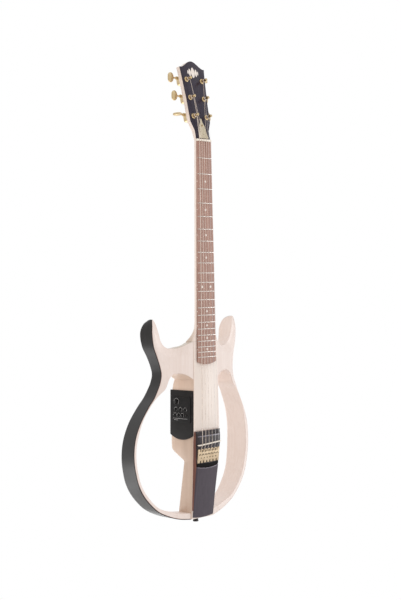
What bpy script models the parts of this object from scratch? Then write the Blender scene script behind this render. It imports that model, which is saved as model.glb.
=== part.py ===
# Silent guitar: a frame-bodied electro-acoustic guitar standing upright, neck along +Z.
# Frame: metres, +Z towards the headstock, +X towards the treble strings, +Y towards the back.
# Origin: centre of the nut's fingerboard-side edge, on the plane that touches the fingerboard's crown.
# All the lengths below are in millimetres and are scaled to metres where a mesh is written.
import bpy
import bmesh
import math
from mathutils import Vector, Matrix

for old in list(bpy.data.objects):
    bpy.data.objects.remove(old, do_unlink=True)

MM = 0.001

# ---------------------------------------------------------------- driving dimensions
SCALE = 648.0                  # nut to 12th fret doubled
FRETS = 22
NUT_HALF = 21.5                # half of the fingerboard's width at the nut
TWELFTH_HALF = 26.5            # and at the 12th fret
BOARD_T = 4.9                  # fingerboard thickness under the crown
CROWN_R = 406.0                # radius of the fingerboard's crown
FRET_H = 1.0
FB_END = -482.0                # lowest point of the rounded fingerboard end
TOP_Y = 5.2                    # plane of the soundboard and of the neck's glue face
HEAD_Y0, HEAD_TILT = 2.5, 0.2  # head face: y = HEAD_Y0 + HEAD_TILT * z
HEAD_T, VENEER_T = 11.0, 2.0
HEAD_TOP, HEAD_SHOULDER, HEAD_HALF = 177.0, 162.0, 37.7
POSTS = [(20.5, 54.0), (21.4, 94.7), (24.0, 134.5)]   # |x|, z of each post on the head face
POST_R, POST_H = 3.0, 15.5
WORM_OFF, WORM_DEPTH = 8.3, 6.5     # worm axis: above the post axis, and behind the head's back face
BUTTON_X = 27.5                # key centre from its post axis
HEEL_Z = -432.0
BODY_END = -818.0
BOX_BACK = 76.0
BACK_COVER_T = 3.2
GAP = 0.3
SLOPE_BASE = 0.082             # fall of the beam's front face below the bridge
RIM_FACE = 8.5                 # width of the rim's front face
BAND_T = 1.5                   # thickness of the dark outer laminate
NUT_SPREAD, SADDLE_SPREAD = 35.0, 52.0
STRING_R = (0.66, 0.53, 0.42, 0.33, 0.25, 0.20)
PANEL_Y = (5.6, 74.6)
PANEL_Z = (-538.0, -635.0, -645.5)
BEZEL_Y, BEZEL_Z = (12.0, 70.0), (-608.0, -552.0)
KNOBS = {                      # y, z, radius on the panel
    "volume_knob": (54.0, -563.0, 4.6),
    "bass_knob": (55.5, -579.5, 2.7), "middle_knob": (41.5, -579.5, 2.7), "treble_knob": (27.5, -579.5, 2.7),
    "presence_knob": (57.5, -592.0, 2.7), "notch_knob": (46.5, -592.0, 2.7), "blend_knob": (35.5, -592.0, 2.7),
}
PHASE_BUTTON = (23.5, -592.0, 1.9)
JACK_Y, JACK_END = 42.0, -828.0
HEAD_COS = 1.0 / math.sqrt(1 + HEAD_TILT ** 2)
HEAD_SIN = HEAD_TILT * HEAD_COS
FRONT_N = Vector((0, -HEAD_COS, HEAD_SIN))   # out of the head's face
BACK_N = -FRONT_N


# ---------------------------------------------------------------- materials
def material(name, colour, rough, metal=0.0):
    m = bpy.data.materials.new(name)
    m.use_nodes = True
    b = m.node_tree.nodes["Principled BSDF"]
    b.inputs["Base Color"].default_value = (*colour, 1)
    b.inputs["Roughness"].default_value = rough
    b.inputs["Metallic"].default_value = metal
    m.diffuse_color = (*colour, 1)
    return m


MAPLE = material("maple", (0.80, 0.66, 0.53), 0.35)
SPRUCE = material("spruce", (0.84, 0.72, 0.58), 0.4)
BLACK_LAM = material("black_laminate", (0.035, 0.034, 0.036), 0.35)
VENEER = material("head_veneer", (0.03, 0.028, 0.035), 0.3)
ROSEWOOD = material("rosewood", (0.16, 0.075, 0.045), 0.45)
RED_LAM = material("red_brown_wood", (0.15, 0.06, 0.04), 0.4)
EBONY = material("ebony", (0.025, 0.022, 0.025), 0.35)
BONE = material("bone", (0.85, 0.78, 0.66), 0.4)
GOLD = material("gold_plate", (0.83, 0.60, 0.27), 0.22, 1.0)
COVER_GOLD = material("satin_gold", (0.62, 0.52, 0.33), 0.4, 0.8)
STEEL = material("steel", (0.6, 0.6, 0.62), 0.3, 1.0)
BRONZE = material("bronze_wire", (0.75, 0.55, 0.36), 0.3, 1.0)
PLAIN_STEEL = material("plain_steel_wire", (0.75, 0.75, 0.76), 0.2, 1.0)
PANEL = material("panel_plastic", (0.03, 0.03, 0.032), 0.45)
KNOB = material("knob_plastic", (0.02, 0.02, 0.02), 0.5)
CASE = material("case_plastic", (0.05, 0.05, 0.05), 0.6)
JACK = material("black_metal", (0.04, 0.04, 0.04), 0.3, 0.8)
BATTERY = material("battery_jacket", (0.25, 0.26, 0.28), 0.4)
LEAD = material("lead_sheath", (0.02, 0.02, 0.02), 0.6)
PIEZO = material("pickup_foil", (0.55, 0.45, 0.30), 0.4, 0.7)


# ---------------------------------------------------------------- mesh helpers
def add(name, verts, faces, mat, smooth=None, matrix=None, hidden=False):
    """One object from points in mm and faces. With a matrix (metres), the points are local to it."""
    me = bpy.data.meshes.new(name)
    me.from_pydata([(v[0] * MM, v[1] * MM, v[2] * MM) for v in verts], [], faces)
    bm = bmesh.new()
    bm.from_mesh(me)
    bmesh.ops.recalc_face_normals(bm, faces=bm.faces)
    if bm.calc_volume(signed=True) < 0:
        bmesh.ops.reverse_faces(bm, faces=bm.faces)
    bm.to_mesh(me)
    bm.free()
    ob = bpy.data.objects.new(name, me)
    bpy.context.scene.collection.objects.link(ob)
    if matrix is not None:
        ob.matrix_world = matrix
    if mat is not None:
        me.materials.append(mat)
    if smooth:
        me.shade_smooth()
        me.set_sharp_from_angle(angle=math.radians(smooth))
    if hidden:
        ob.hide_render = True
        ob.display_type = "WIRE"
    return ob


def loft(name, rings, mat, smooth=None, rows=False, matrix=None, hidden=False):
    """Closed body through rings of equal length. With rows, each ring is a front row and a back row of equal
    length, and its ends are closed by strips between the two rows; if not, by one polygon each."""
    n = len(rings[0])
    verts = [p for r in rings for p in r]
    faces = []
    for i in range(len(rings) - 1):
        for j in range(n):
            k = (j + 1) % n
            faces.append((i * n + j, i * n + k, (i + 1) * n + k, (i + 1) * n + j))
    for base in (0, (len(rings) - 1) * n):
        if rows:
            h = n // 2
            for j in range(h - 1):
                faces.append((base + j, base + j + 1, base + n - 2 - j, base + n - 1 - j))
        else:
            faces.append(tuple(range(base, base + n)))
    return add(name, verts, faces, mat, smooth, matrix, hidden)


def box(name, lo, hi, mat=None, hidden=False, matrix=None):
    (x0, y0, z0), (x1, y1, z1) = lo, hi
    v = [(x, y, z) for x in (x0, x1) for y in (y0, y1) for z in (z0, z1)]
    f = [(0, 1, 3, 2), (4, 6, 7, 5), (0, 4, 5, 1), (2, 3, 7, 6), (0, 2, 6, 4), (1, 5, 7, 3)]
    return add(name, v, f, mat, hidden=hidden, matrix=matrix)


def lathe(name, profile, seg, mat, matrix, smooth=40, hidden=False, phase=0.0):
    """Turned body about local Z from (radius, height) points in mm; a radius of 0 closes it on the axis."""
    verts, rings = [], []
    for r, h in profile:
        if r <= 1e-9:
            rings.append([len(verts)])
            verts.append((0, 0, h))
        else:
            rings.append(list(range(len(verts), len(verts) + seg)))
            verts += [(r * math.cos(phase + 2 * math.pi * k / seg), r * math.sin(phase + 2 * math.pi * k / seg), h)
                      for k in range(seg)]
    faces = []
    for a, b in zip(rings, rings[1:]):
        for k in range(seg):
            m = (k + 1) % seg
            if len(a) == 1 and len(b) == 1:
                continue
            if len(a) == 1:
                faces.append((a[0], b[k], b[m]))
            elif len(b) == 1:
                faces.append((a[k], a[m], b[0]))
            else:
                faces.append((a[k], a[m], b[m], b[k]))
    if len(rings[0]) > 1:
        faces.append(tuple(rings[0]))
    if len(rings[-1]) > 1:
        faces.append(tuple(rings[-1]))
    return add(name, verts, faces, mat, smooth, matrix, hidden)


def frame_z(origin_mm, z_dir, x_hint=Vector((1, 0, 0))):
    """Matrix whose local Z is z_dir, at a point given in mm."""
    z = Vector(z_dir).normalized()
    x = (x_hint - z * x_hint.dot(z)).normalized()
    y = z.cross(x)
    m = Matrix((x, y, z)).transposed().to_4x4()
    m.translation = Vector(origin_mm) * MM
    return m


def rod(name, a, b, r, seg=10, mat=None, hidden=True):
    a, b = Vector(a), Vector(b)
    hint = Vector((0, 0, 1)) if abs((b - a).normalized().x) > 0.9 else Vector((1, 0, 0))
    return lathe(name, [(r, 0), (r, (b - a).length)], seg, mat, frame_z(a, b - a, hint), hidden=hidden)


def combine(ob, others, how="DIFFERENCE"):
    """Boolean of ob with helper bodies, which go away afterwards; the result stays a plain mesh."""
    for k, other in enumerate(others):
        m = ob.modifiers.new("bool%d" % k, "BOOLEAN")
        m.operation = how
        m.solver = "EXACT"
        m.object = other
    bpy.context.view_layer.update()
    graph = bpy.context.evaluated_depsgraph_get()
    me = bpy.data.meshes.new_from_object(ob.evaluated_get(graph))
    me.name = ob.name
    ob.modifiers.clear()
    ob.data = me
    for other in others:
        bpy.data.objects.remove(other, do_unlink=True)
    return ob


def curve_through(rows, per):
    """Catmull-Rom through rows of numbers, per steps between each pair of rows."""
    out = []
    n = len(rows)
    for i in range(n - 1):
        p0, p1, p2, p3 = rows[max(i - 1, 0)], rows[i], rows[i + 1], rows[min(i + 2, n - 1)]
        for k in range(per):
            t = k / per
            out.append(tuple(
                0.5 * (2 * b + (c - a) * t + (2 * a - 5 * b + 4 * c - d) * t * t + (3 * b - a - 3 * c + d) * t ** 3)
                for a, b, c, d in zip(p0, p1, p2, p3)))
    out.append(tuple(rows[-1]))
    return out


def piecewise(z, table):
    """Straight-line look-up in (z, value) rows whose z falls."""
    if z >= table[0][0]:
        return table[0][1]
    for (z0, v0), (z1, v1) in zip(table, table[1:]):
        if z >= z1:
            return v0 + (v1 - v0) * (z0 - z) / (z0 - z1)
    return table[-1][1]


# ---------------------------------------------------------------- shared shape rules
def fret_z(n):
    return -SCALE * (1 - 2 ** (-n / 12.0))


def board_half(z):
    return NUT_HALF + (TWELFTH_HALF - NUT_HALF) * (-z) / (SCALE / 2)


def beam_half(z):
    return piecewise(z, [(-432, 38.0), (-505, 38.0), (-650, 41.2), (-692, 38.5), (-817, 34.7)])


def beam_back(z):
    return piecewise(z, [(-432, 31.5), (-450, 38.0), (-470, 47.5), (-490, 57.0), (-508, 65.0), (-526, 71.8),
                         (-545, 75.6), (-556, BOX_BACK), (-664, BOX_BACK), (-669, 75.4), (-677, 65.0), (-690.5, 42.0),
                         (-694, 41.0), (-810, 63.6), (-819, 64.2)])


def beam_front(z):
    return TOP_Y + max(0.0, -626 - z) * SLOPE_BASE


def under_black(z):
    """Underside of the black bridge and tail cover."""
    return piecewise(z, [(-626, 2.0), (-702, 5.3), (-817, 19.9)])


def black_front(z):
    """Front of the black bridge and tail cover along the middle."""
    return piecewise(z, [(-625.7, 1.6), (-636.6, -2.5), (-654, -2.3), (-660, -1.6), (-665, -1.4), (-694.5, 1.6),
                         (-702, 1.5), (-757.6, 10.0), (-817, 18.9)])


def black_half(z):
    return piecewise(z, [(-625.7, 37.8), (-636.6, 36.2), (-656, 36.0), (-665, 34.6), (-700, 33.2), (-757, 32.2), (-817, 31.2)])


def head_half(z):
    return piecewise(-z, [(-5, 21.3), (-14, 20.8), (-24, 21.2), (-33, 25.6), (-43, 30.0), (-94, 31.7), (-150, 36.2), (-162, 37.7)])


def head_top(x):
    """Ogee of the head's top: flat shoulders that rise into a dome."""
    u = abs(x) / HEAD_HALF
    return HEAD_SHOULDER + (HEAD_TOP - HEAD_SHOULDER) * (0.5 + 0.5 * math.cos(math.pi * min(1.0, u * 1.08))) ** 0.9


def on_head(x, z, lift=0.0):
    """Point on the head's front face (z measured on the face), raised along its normal."""
    return Vector((x, HEAD_Y0 + HEAD_TILT * z, z)) + FRONT_N * lift


# ---------------------------------------------------------------- neck
FR = (-1, -0.93, -0.8, -0.62, -0.42, -0.2, 0, 0.2, 0.42, 0.62, 0.8, 0.93, 1)


def neck_ring(z, half, thick, power, lean, face, top=False):
    front, back = [], []
    bx = BACK_N.lerp(Vector((0, 1, 0)), 1 - lean).normalized()
    for f in FR:
        x = f * half
        zz = head_top(x) if top else z
        y = face(zz)
        p = Vector((x, y, zz))
        d = 2.2 + (thick - 2.2) * (1 - abs(f) ** power) ** (1.0 / power)
        front.append(p)
        back.append(p + bx * d)
    return front + back[::-1]


def shaft_face(z):
    return TOP_Y


def core_face(z):
    return max(TOP_Y, HEAD_Y0 + HEAD_TILT * z + (VENEER_T + GAP) / HEAD_COS)


neck_rings = [neck_ring(*row) for row in (
    (HEEL_Z, 38.0, 26.3, 9.0, 0, shaft_face),
    (-424, 35.2, 23.6, 5.0, 0, shaft_face),
    (-414, 31.2, 20.4, 3.2, 0, shaft_face),
    (-403, board_half(-403), 18.2, 2.3, 0, shaft_face),
    (-386, board_half(-386), 16.9, 2.0, 0, shaft_face),
    (-324, board_half(-324), 16.3, 2.0, 0, shaft_face),
    (-162, board_half(-162), 15.3, 2.0, 0, shaft_face),
    (0, NUT_HALF, 14.3, 2.0, 0, shaft_face),
    (5.0, 21.3, 14.6, 2.2, 0.15, core_face),
    (14.0, 20.8, 14.6, 2.6, 0.55, core_face),
    (24.0, 21.2, 13.8, 3.5, 0.9, core_face),
    (33.0, 25.6, 11.3, 6.0, 1, core_face),
    (43.0, 30.0, HEAD_T, 10.0, 1, core_face),
    (94.0, 31.7, HEAD_T, 10.0, 1, core_face),
    (150.0, 36.2, HEAD_T, 10.0, 1, core_face),
    (HEAD_SHOULDER, HEAD_HALF, HEAD_T, 10.0, 1, core_face, True))]
neck = loft("neck", neck_rings, MAPLE, 50, rows=True)
combine(neck, [box("tenon", (-20, TOP_Y + 0.6, -466), (20, 23, -431.0), hidden=True)], "UNION")
cutters = [box("rod_channel", (-3.2, 0, -440), (3.2, 14.0, 8.0), hidden=True),
           box("nut_pocket", (-6.4, 0, 5.3), (6.4, 15.4, 27.0), hidden=True)]
for side in (-1, 1):
    for px, pz in POSTS:
        c = on_head(side * px, pz)
        cutters.append(rod("post_hole", c + FRONT_N * 4, c + BACK_N * 20, 5.0, 12))
combine(neck, cutters)

# ---------------------------------------------------------------- head veneer
outline = [(x, z) for z, x in ((5.4, 21.0), (14, 20.8), (24, 21.2), (33, 25.6), (43, 30.0), (94, 31.7), (150, 36.2))]
crest = [(HEAD_HALF * k / 9.0, head_top(HEAD_HALF * k / 9.0)) for k in range(9, 0, -1)]
half_line = outline + crest
loop = half_line + [(0, head_top(0))] + [(-x, z) for x, z in reversed(half_line)]
veneer_rings = [[on_head(x, z) for x, z in loop], [on_head(x, z) + BACK_N * VENEER_T for x, z in loop]]
veneer = loft("headstock_veneer", veneer_rings, VENEER)
cutters = [box("veneer_pocket", (-6.4, -5, 0), (6.4, 20, 27), hidden=True)]
for side in (-1, 1):
    for px, pz in POSTS:
        c = on_head(side * px, pz)
        cutters.append(rod("post_hole", c + FRONT_N * 4, c + BACK_N * 8, 5.0, 12))
combine(veneer, cutters)

# ---------------------------------------------------------------- fingerboard with its frets
FF = (-1, -0.5, 0, 0.5, 1)


def board_ring(z, lift=0.0, end=False):
    half = board_half(z) - 0.1
    zs = [z - (6.0 * (1 - f * f) if end else 0.0) for f in FF]
    front = [Vector((f * half, (f * half) ** 2 / (2 * CROWN_R) - lift, zz)) for f, zz in zip(FF, zs)]
    back = [Vector((f * half, BOARD_T, zz)) for f, zz in zip(FF, zs)]
    return front + back[::-1]


rings = [board_ring(-GAP)]
for n in range(1, FRETS + 1):
    z = fret_z(n)
    rings += [board_ring(z + 1.1), board_ring(z, FRET_H), board_ring(z - 1.1)]
rings.append(board_ring(FB_END + 6.0, end=True))
loft("fingerboard", rings, ROSEWOOD, rows=True)

# nut: a bone block across the neck, its top just under the strings
box("nut", (-21.0, -1.05, 0.0), (21.0, TOP_Y - GAP, 4.9), BONE)

# ---------------------------------------------------------------- truss rod, its nut, cover and screw
ROD_Y = 10.0
truss = box("truss_rod", (-2.9, 5.9, -436), (2.9, 13.6, 2.0), STEEL)
combine(truss, [rod("thread", (0, ROD_Y, 1.0), (0, ROD_Y, 11.0), 2.2, 8)], "UNION")
nut_frame = frame_z((0, ROD_Y, 5.8), (0, 0, 1))
hexnut = lathe("truss_rod_nut", [(3.7, 0), (3.7, 13.2)], 6, STEEL, nut_frame, smooth=None)
combine(hexnut, [lathe("nut_bore", [(2.6, -1), (2.6, 6.5)], 8, None, nut_frame, hidden=True),
                 lathe("nut_socket", [(2.3, 8.6), (2.3, 15.0)], 6, None, nut_frame, hidden=True)])

bell = [(14.4, 6.4), (14.2, 9), (12.0, 16), (10.2, 24), (8.8, 31), (6.4, 37), (3.4, 42), (2.4, 45.5), (1.6, 48.3), (0.6, 49.6)]
bell_loop = bell + [(-x, z) for x, z in reversed(bell)]
cover = loft("truss_rod_cover", [[on_head(x, z, 0.3) for x, z in bell_loop], [on_head(x, z, 2.3) for x, z in bell_loop]], COVER_GOLD)
combine(cover, [rod("screw_hole", on_head(0, 34, -2), on_head(0, 34, 4), 1.6, 8)])
lathe("truss_cover_screw", [(1.2, -8.5), (1.2, 2.4), (2.6, 2.7), (2.2, 3.6), (0, 3.9)], 8, GOLD,
      frame_z(on_head(0, 34), FRONT_N))
combine(neck, [rod("screw_seat", on_head(0, 34, -9.5), on_head(0, 34, 3), 1.5, 8)])
combine(veneer, [rod("screw_seat2", on_head(0, 34, -4), on_head(0, 34, 3), 1.6, 8)])

# ---------------------------------------------------------------- centre body: heel, open-backed box and tail beam
stations = [-432.3, -450, -470, -490, -508, -526, -545, -556, -626, -650, -664, -669, -677, -690.5, -694, -760, -810, BODY_END]
rings = []
for z in stations:
    b, f, k = beam_half(z), beam_front(z), beam_back(z)
    c = 3.0
    rings.append([(-b, f, z), (b, f, z), (b, k - c, z), (b - c, k, z), (-b + c, k, z), (-b, k - c, z)])
body = loft("center_body", rings, MAPLE)
combine(body, [
    box("tenon_pocket", (-20.4, 0, -466.4), (20.4, 23.4, -430), hidden=True),
    box("rod_tail", (-3.4, 0, -440), (3.4, 14.2, -430), hidden=True),
    box("board_seat", (-35.3, 0, -629.4), (35.3, 8.8, -470.0), hidden=True),
    box("chamber", (-32.5, 5, -656), (32.5, 90, -556), hidden=True),
    box("cover_seat", (-35.8, BOX_BACK - 3.5, -662.3), (35.8, 90, -549.7), hidden=True),
    box("preamp_window", (-50, 15, -605), (-30, 67, -555), hidden=True),
    rod("jack_bore", (0, JACK_Y, -830), (0, JACK_Y, -778), 5.4, 12),
    rod("lead_way", (0, JACK_Y, -781), (0, 24.5, -650), 2.6, 8)])

# ---------------------------------------------------------------- soundboard strip
box("soundboard", (-35.0, TOP_Y, -629.1), (35.0, TOP_Y + 3.2, -470.3), SPRUCE)

# ---------------------------------------------------------------- wings: horn, waist plate and bent rim
# Rows run from the tail, round the lower bout and the horn, to the neck side of the cutaway:
# outer front |x|, z, y; outer back shift in |x| and z, and y; inner front |x|, z, y (or None: rim width inwards); easing
ROWS = [
    (35.2, -818.5, 23.0, 0, 0, 62.0, (35.2, -804.5, 23.0), 1.0),
    (61.0, -815.5, 31.0, 0, 0, 69.5, (58.0, -802.5, 31.0), 1.0),
    (89.5, -806.5, 35.0, -0.5, 0.5, 77.5, (85.0, -795.5, 35.0), 1.0),
    (120.0, -791.0, 38.5, -2.0, 1.5, 85.0, None, 1.0),
    (149.6, -763.0, 41.5, -4.5, 2.0, 90.0, None, 1.0),
    (167.4, -734.5, 43.5, -6.5, 1.5, 92.5, None, 1.0),
    (176.2, -706.0, 44.5, -8.5, 1.0, 94.0, None, 1.0),
    (180.6, -678.0, 45.0, -10.0, 0, 94.5, None, 1.0),
    (180.2, -650.0, 44.5, -10.5, -0.5, 93.0, None, 1.0),
    (174.6, -622.0, 42.8, -10.0, -1.5, 89.5, None, 1.0),
    (162.4, -594.0, 40.0, -9.0, -2.5, 85.5, (155.2, -589.0, 38.0), 1.0),
    (145.1, -566.0, 36.0, -8.0, -3.0, 79.0, (136.5, -559.0, 32.0), 1.0),
    (132.0, -548.0, 32.5, -6.5, -3.0, 73.0, (121.5, -542.5, 26.5), 1.0),
    (123.0, -531.0, 30.5, -5.5, -2.0, 67.5, (107.0, -531.0, 22.5), 1.0),
    (116.5, -517.0, 29.8, -4.5, -1.0, 64.0, (101.0, -519.5, 21.0), 1.0),
    (113.3, -500.0, 29.0, -4.0, 0, 61.5, (96.5, -510.5, 20.3), 1.0),
    (115.8, -482.0, 30.5, -3.0, 0, 63.0, (92.0, -505.0, 20.0), 1.0),
    (121.5, -462.0, 33.0, -2.2, 0, 66.5, (88.0, -502.0, 19.7), 1.0),
    (129.0, -440.0, 35.0, -1.2, 0, 71.5, (84.5, -500.6, 19.4), 1.0),
    (132.4, -414.0, 35.6, -0.8, 0, 73.0, (82.0, -500.0, 19.1), 1.0),
    (130.8, -395.0, 37.0, -1.8, 0, 69.0, (80.2, -499.7, 18.9), 1.0),
    (126.4, -382.0, 39.5, -3.6, -2.5, 63.5, (79.0, -499.6, 18.7), 1.0),
    (120.6, -391.0, 36.5, -4.0, -1.0, 66.5, (77.6, -499.5, 18.4), 1.05),
    (114.2, -411.0, 33.8, -3.5, 0, 68.0, (75.0, -499.3, 17.8), 1.2),
    (107.0, -426.0, 33.5, -3.0, 0, 63.5, (72.0, -499.2, 17.0), 1.4),
    (96.0, -438.5, 32.3, -2.0, 0, 56.5, (68.0, -499.5, 15.8), 1.65),
    (81.0, -444.0, 29.0, -1.0, 0, 48.5, (62.5, -500.5, 14.0), 1.9),
    (64.0, -442.5, 20.5, 0, 0, 41.5, (55.0, -503.3, 11.3), 2.0),
    (49.5, -438.5, 11.5, 0, 0, 36.0, (47.0, -507.5, 8.3), 1.6),
    (38.35, -435.0, 5.8, 0, 0, 31.5, (38.45, -513.5, 5.8), 1.0),
]
TIP = 21                       # index of the horn tip's row


def wing_rows():
    """ROWS with the rim's inner edge worked out from the outer edge's normal."""
    done = []
    for i, row in enumerate(ROWS):
        w, z, y, dw, dz, yb, inner, ease = row
        a, b = ROWS[max(i - 1, 0)], ROWS[min(i + 1, len(ROWS) - 1)]
        t = Vector((b[0] - a[0], b[1] - a[1])).normalized()
        nx, nz = -t.y, t.x              # to the left of the walk: towards the opening
        if inner is None:
            inner = (w + nx * RIM_FACE, z + nz * RIM_FACE, y)
        skin = BAND_T + GAP + 0.15 if i < TIP else 0.0
        if i == TIP:
            skin = GAP
        if i == 0:
            nx, nz = 0.0, 1.0
        # the skin comes off the outer face: w0 is the laminate's outer edge, w1 the wood under it
        done.append((w, z, y, w + dw, z + dz, yb, w + nx * skin, z + nz * skin,
                     w + dw + nx * skin, z + dz + nz * skin, inner[0], inner[1], inner[2], ease, nx, nz))
    return done


def make_wing(side, name, band_name, per=2, across=4):
    rows = curve_through(wing_rows(), per)
    rings, band = [], []
    for i, r in enumerate(rows):
        (w, z, y, wb, zb, yb, w1, z1, w1b, z1b, wi, zi, yi, ease, nx, nz) = r
        front, back = [], []
        for k in range(across + 1):
            v = k / across
            g = v ** ease
            front.append((side * (wi + (w1 - wi) * v), yi + (y - yi) * g, zi + (z1 - zi) * v))
            # the back's inner edge leans with the wall, and the plate deepens towards the box
            wib, zib = wi + (wb - w), zi + (zb - z)
            ybi = yb if i <= 12 * per else yb + (61.5 - yb) * min(1.0, (i - 12 * per) / (17.0 * per))
            back.append((side * (wib + (w1b - wib) * v), ybi + (yb - ybi) * v, zib + (z1b - zib) * v))
        rings.append(front + back[::-1])
        if i <= TIP * per:
            t = BAND_T if i < (TIP - 1) * per else BAND_T * max(0.12, (TIP * per - i) / per)
            q = (w + nx * t, z + nz * t)
            qb = (wb + nx * t, zb + nz * t)
            band.append([(side * w, y, z), (side * wb, yb, zb), (side * qb[0], yb, qb[1]), (side * q[0], y, q[1])])
    wing = loft(name, rings, MAPLE, rows=True)
    lam = loft(band_name, band, BLACK_LAM)
    return wing, lam


make_wing(-1, "bass_wing", "bass_side_band")
make_wing(1, "treble_wing", "treble_side_band")

# ---------------------------------------------------------------- bridge, its wedge, saddle, pickup, plate, tail cover
rings = []
for z in (-626.0, -636.6, -660, -702, -730, -757, -799):
    top, low = under_black(z) + GAP, beam_front(z) - GAP
    bt, bb = black_half(z) + 0.9, beam_half(z) - 0.4
    rings.append([(-bt, top, z), (bt, top, z), (bb, low, z), (-bb, low, z)])
loft("bridge_base", rings, RED_LAM)


def lower_edge(x):
    """The bridge block's lower edge bows towards the tail."""
    return -702.0 - 4.0 * (1 - (x / 33.5) ** 2)


def black_rings(zs, end=None, ends=None, crown=0.0):
    out = []
    for z in zs:
        bt = black_half(z)
        bb = bt + 0.9
        fr = (-1, -0.5, 0, 0.5, 1)
        def zz(f, b):
            if z == end:
                return lower_edge(f * b)
            if z == ends:
                return lower_edge(f * b) - 0.5
            if z < -812:
                return z + 2.6 * f * f
            return z
        front = [(f * bt, black_front(z) + crown * f * f, zz(f, bt)) for f in fr]
        back = [(f * bb, under_black(z), zz(f, bt)) for f in reversed(fr)]
        out.append(front + back)
    return out


bridge = loft("bridge", black_rings((-625.7, -636.6, -648, -660, -665, -694.5, -702), end=-702), EBONY, rows=True)
saddle_frame = Matrix.Translation(Vector((0, 0, -653.85)) * MM) @ Matrix.Rotation(math.atan2(4.0, 72.0), 4, "Y").inverted()
combine(bridge, [box("saddle_slot", (-45, -8, -1.6), (45, 2.1, 1.6), hidden=True, matrix=saddle_frame)])
plate_lo = [(-34.2, -3.0, -664.2), (34.2, -3.0, -664.2)]
recess = loft("plate_recess", [[(-50, -6, z), (50, -6, z), (50, f, z), (-50, f, z)]
                               for z, f in ((-664.2, 0.55), (-695.1, 3.5))], None, hidden=True)
combine(bridge, [recess])
box("saddle", (-34.6, -6.0, -1.25), (34.6, 0.1, 1.25), BONE, matrix=saddle_frame)
box("piezo_pickup", (-34.0, 0.4, -1.1), (34.0, 1.8, 1.1), PIEZO, matrix=saddle_frame)
loft("tail_cover", black_rings((-702.3, -720, -757, -790, -817), ends=-702.3), EBONY, rows=True)

# string plate: a gold plate with a row of slots along its upper and its lower edge
string_x = [SADDLE_SPREAD * (k / 5.0 - 0.5) for k in range(6)]


def plate_y(z):
    return -1.4 + (-664.5 - z) * 0.1


top_edge, low_edge = -664.6, -694.7
loop = []
for k in range(6):
    x = string_x[k]
    loop += [(x - 2.1, top_edge), (x - 2.1, top_edge - 6.0), (x + 2.1, top_edge - 6.0), (x + 2.1, top_edge)]
loop = [(-33.6, top_edge)] + loop + [(33.6, top_edge), (32.9, low_edge)]
for k in reversed(range(6)):
    x = string_x[k] * 0.96
    loop += [(x + 1.6, low_edge), (x + 1.6, low_edge + 5.0), (x - 1.6, low_edge + 5.0), (x - 1.6, low_edge)]
loop.append((-32.9, low_edge))
loft("string_plate", [[(x, plate_y(z), z) for x, z in loop], [(x, plate_y(z) + 1.6, z) for x, z in loop]], GOLD)

# ---------------------------------------------------------------- box cover with its battery cradle
bc = box("back_cover", (-35.5, BOX_BACK - BACK_COVER_T, -662.0), (35.5, BOX_BACK, -550.0), MAPLE)
combine(bc, [box("cradle_l", (-15.6, 56, -624), (-13.6, BOX_BACK - 1, -578), hidden=True),
             box("cradle_r", (13.6, 56, -624), (15.6, BOX_BACK - 1, -578), hidden=True),
             box("cradle_floor", (-15.6, 53.0, -618), (15.6, 54.6, -584), hidden=True),
             box("cradle_wl", (-15.6, 53.0, -618), (-13.6, 60, -584), hidden=True),
             box("cradle_wr", (13.6, 53.0, -618), (15.6, 60, -584), hidden=True)], "UNION")
HINGE_Y, HINGE_Z = 74.3, -571.6
combine(bc, [box("door_window", (-17.4, BOX_BACK - 3.4, -629.4), (17.4, 90, -569.2), hidden=True),
             rod("pivot_l", (-19.0, HINGE_Y, HINGE_Z), (-16, HINGE_Y, HINGE_Z), 1.0, 8),
             rod("pivot_r", (16, HINGE_Y, HINGE_Z), (19.0, HINGE_Y, HINGE_Z), 1.0, 8)])
combine(bc, [box("cradle_l2", (-15.6, 56, -624), (-13.6, 72.3, -578), hidden=True),
             box("cradle_r2", (13.6, 56, -624), (15.6, 72.3, -578), hidden=True),
             box("tab_l", (-20.0, 70.6, -624), (-13.6, 72.9, -610), hidden=True),
             box("tab_r", (13.6, 70.6, -624), (20.0, 72.9, -610), hidden=True)], "UNION")
hinge_frame = Matrix.Translation(Vector((0, HINGE_Y, HINGE_Z)) * MM)
door = box("battery_door", (-17.0, -1.1, -57.3), (17.0, 1.4, -1.0), PANEL, matrix=hinge_frame)
combine(door, [rod("barrel", (-16.6, HINGE_Y, HINGE_Z), (16.6, HINGE_Y, HINGE_Z), 1.5, 10),
               rod("stub", (-18.6, HINGE_Y, HINGE_Z), (18.6, HINGE_Y, HINGE_Z), 0.8, 8)], "UNION")
combine(door, [rod("nail_groove", (-7, HINGE_Y + 1.9, HINGE_Z - 53), (7, HINGE_Y + 1.9, HINGE_Z - 53), 1.2, 8)])
box("battery", (-13.1, 55.0, -626.0), (13.1, 71.6, -579.0), BATTERY)

# ---------------------------------------------------------------- preamp panel, case, knobs and button
WALL_SLOPE = (41.2 - 38.0) / (650.0 - 505.0)
WALL_N = Vector((-1, 0, WALL_SLOPE)).normalized()    # out of the bass wall of the box
WALL_V = Vector((WALL_SLOPE, 0, 1)).normalized()     # up along it


def on_wall(y, z, lift=0.0):
    return Vector((-(38.0 + (-505.0 - z) * WALL_SLOPE), y, z)) + WALL_N * lift


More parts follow.
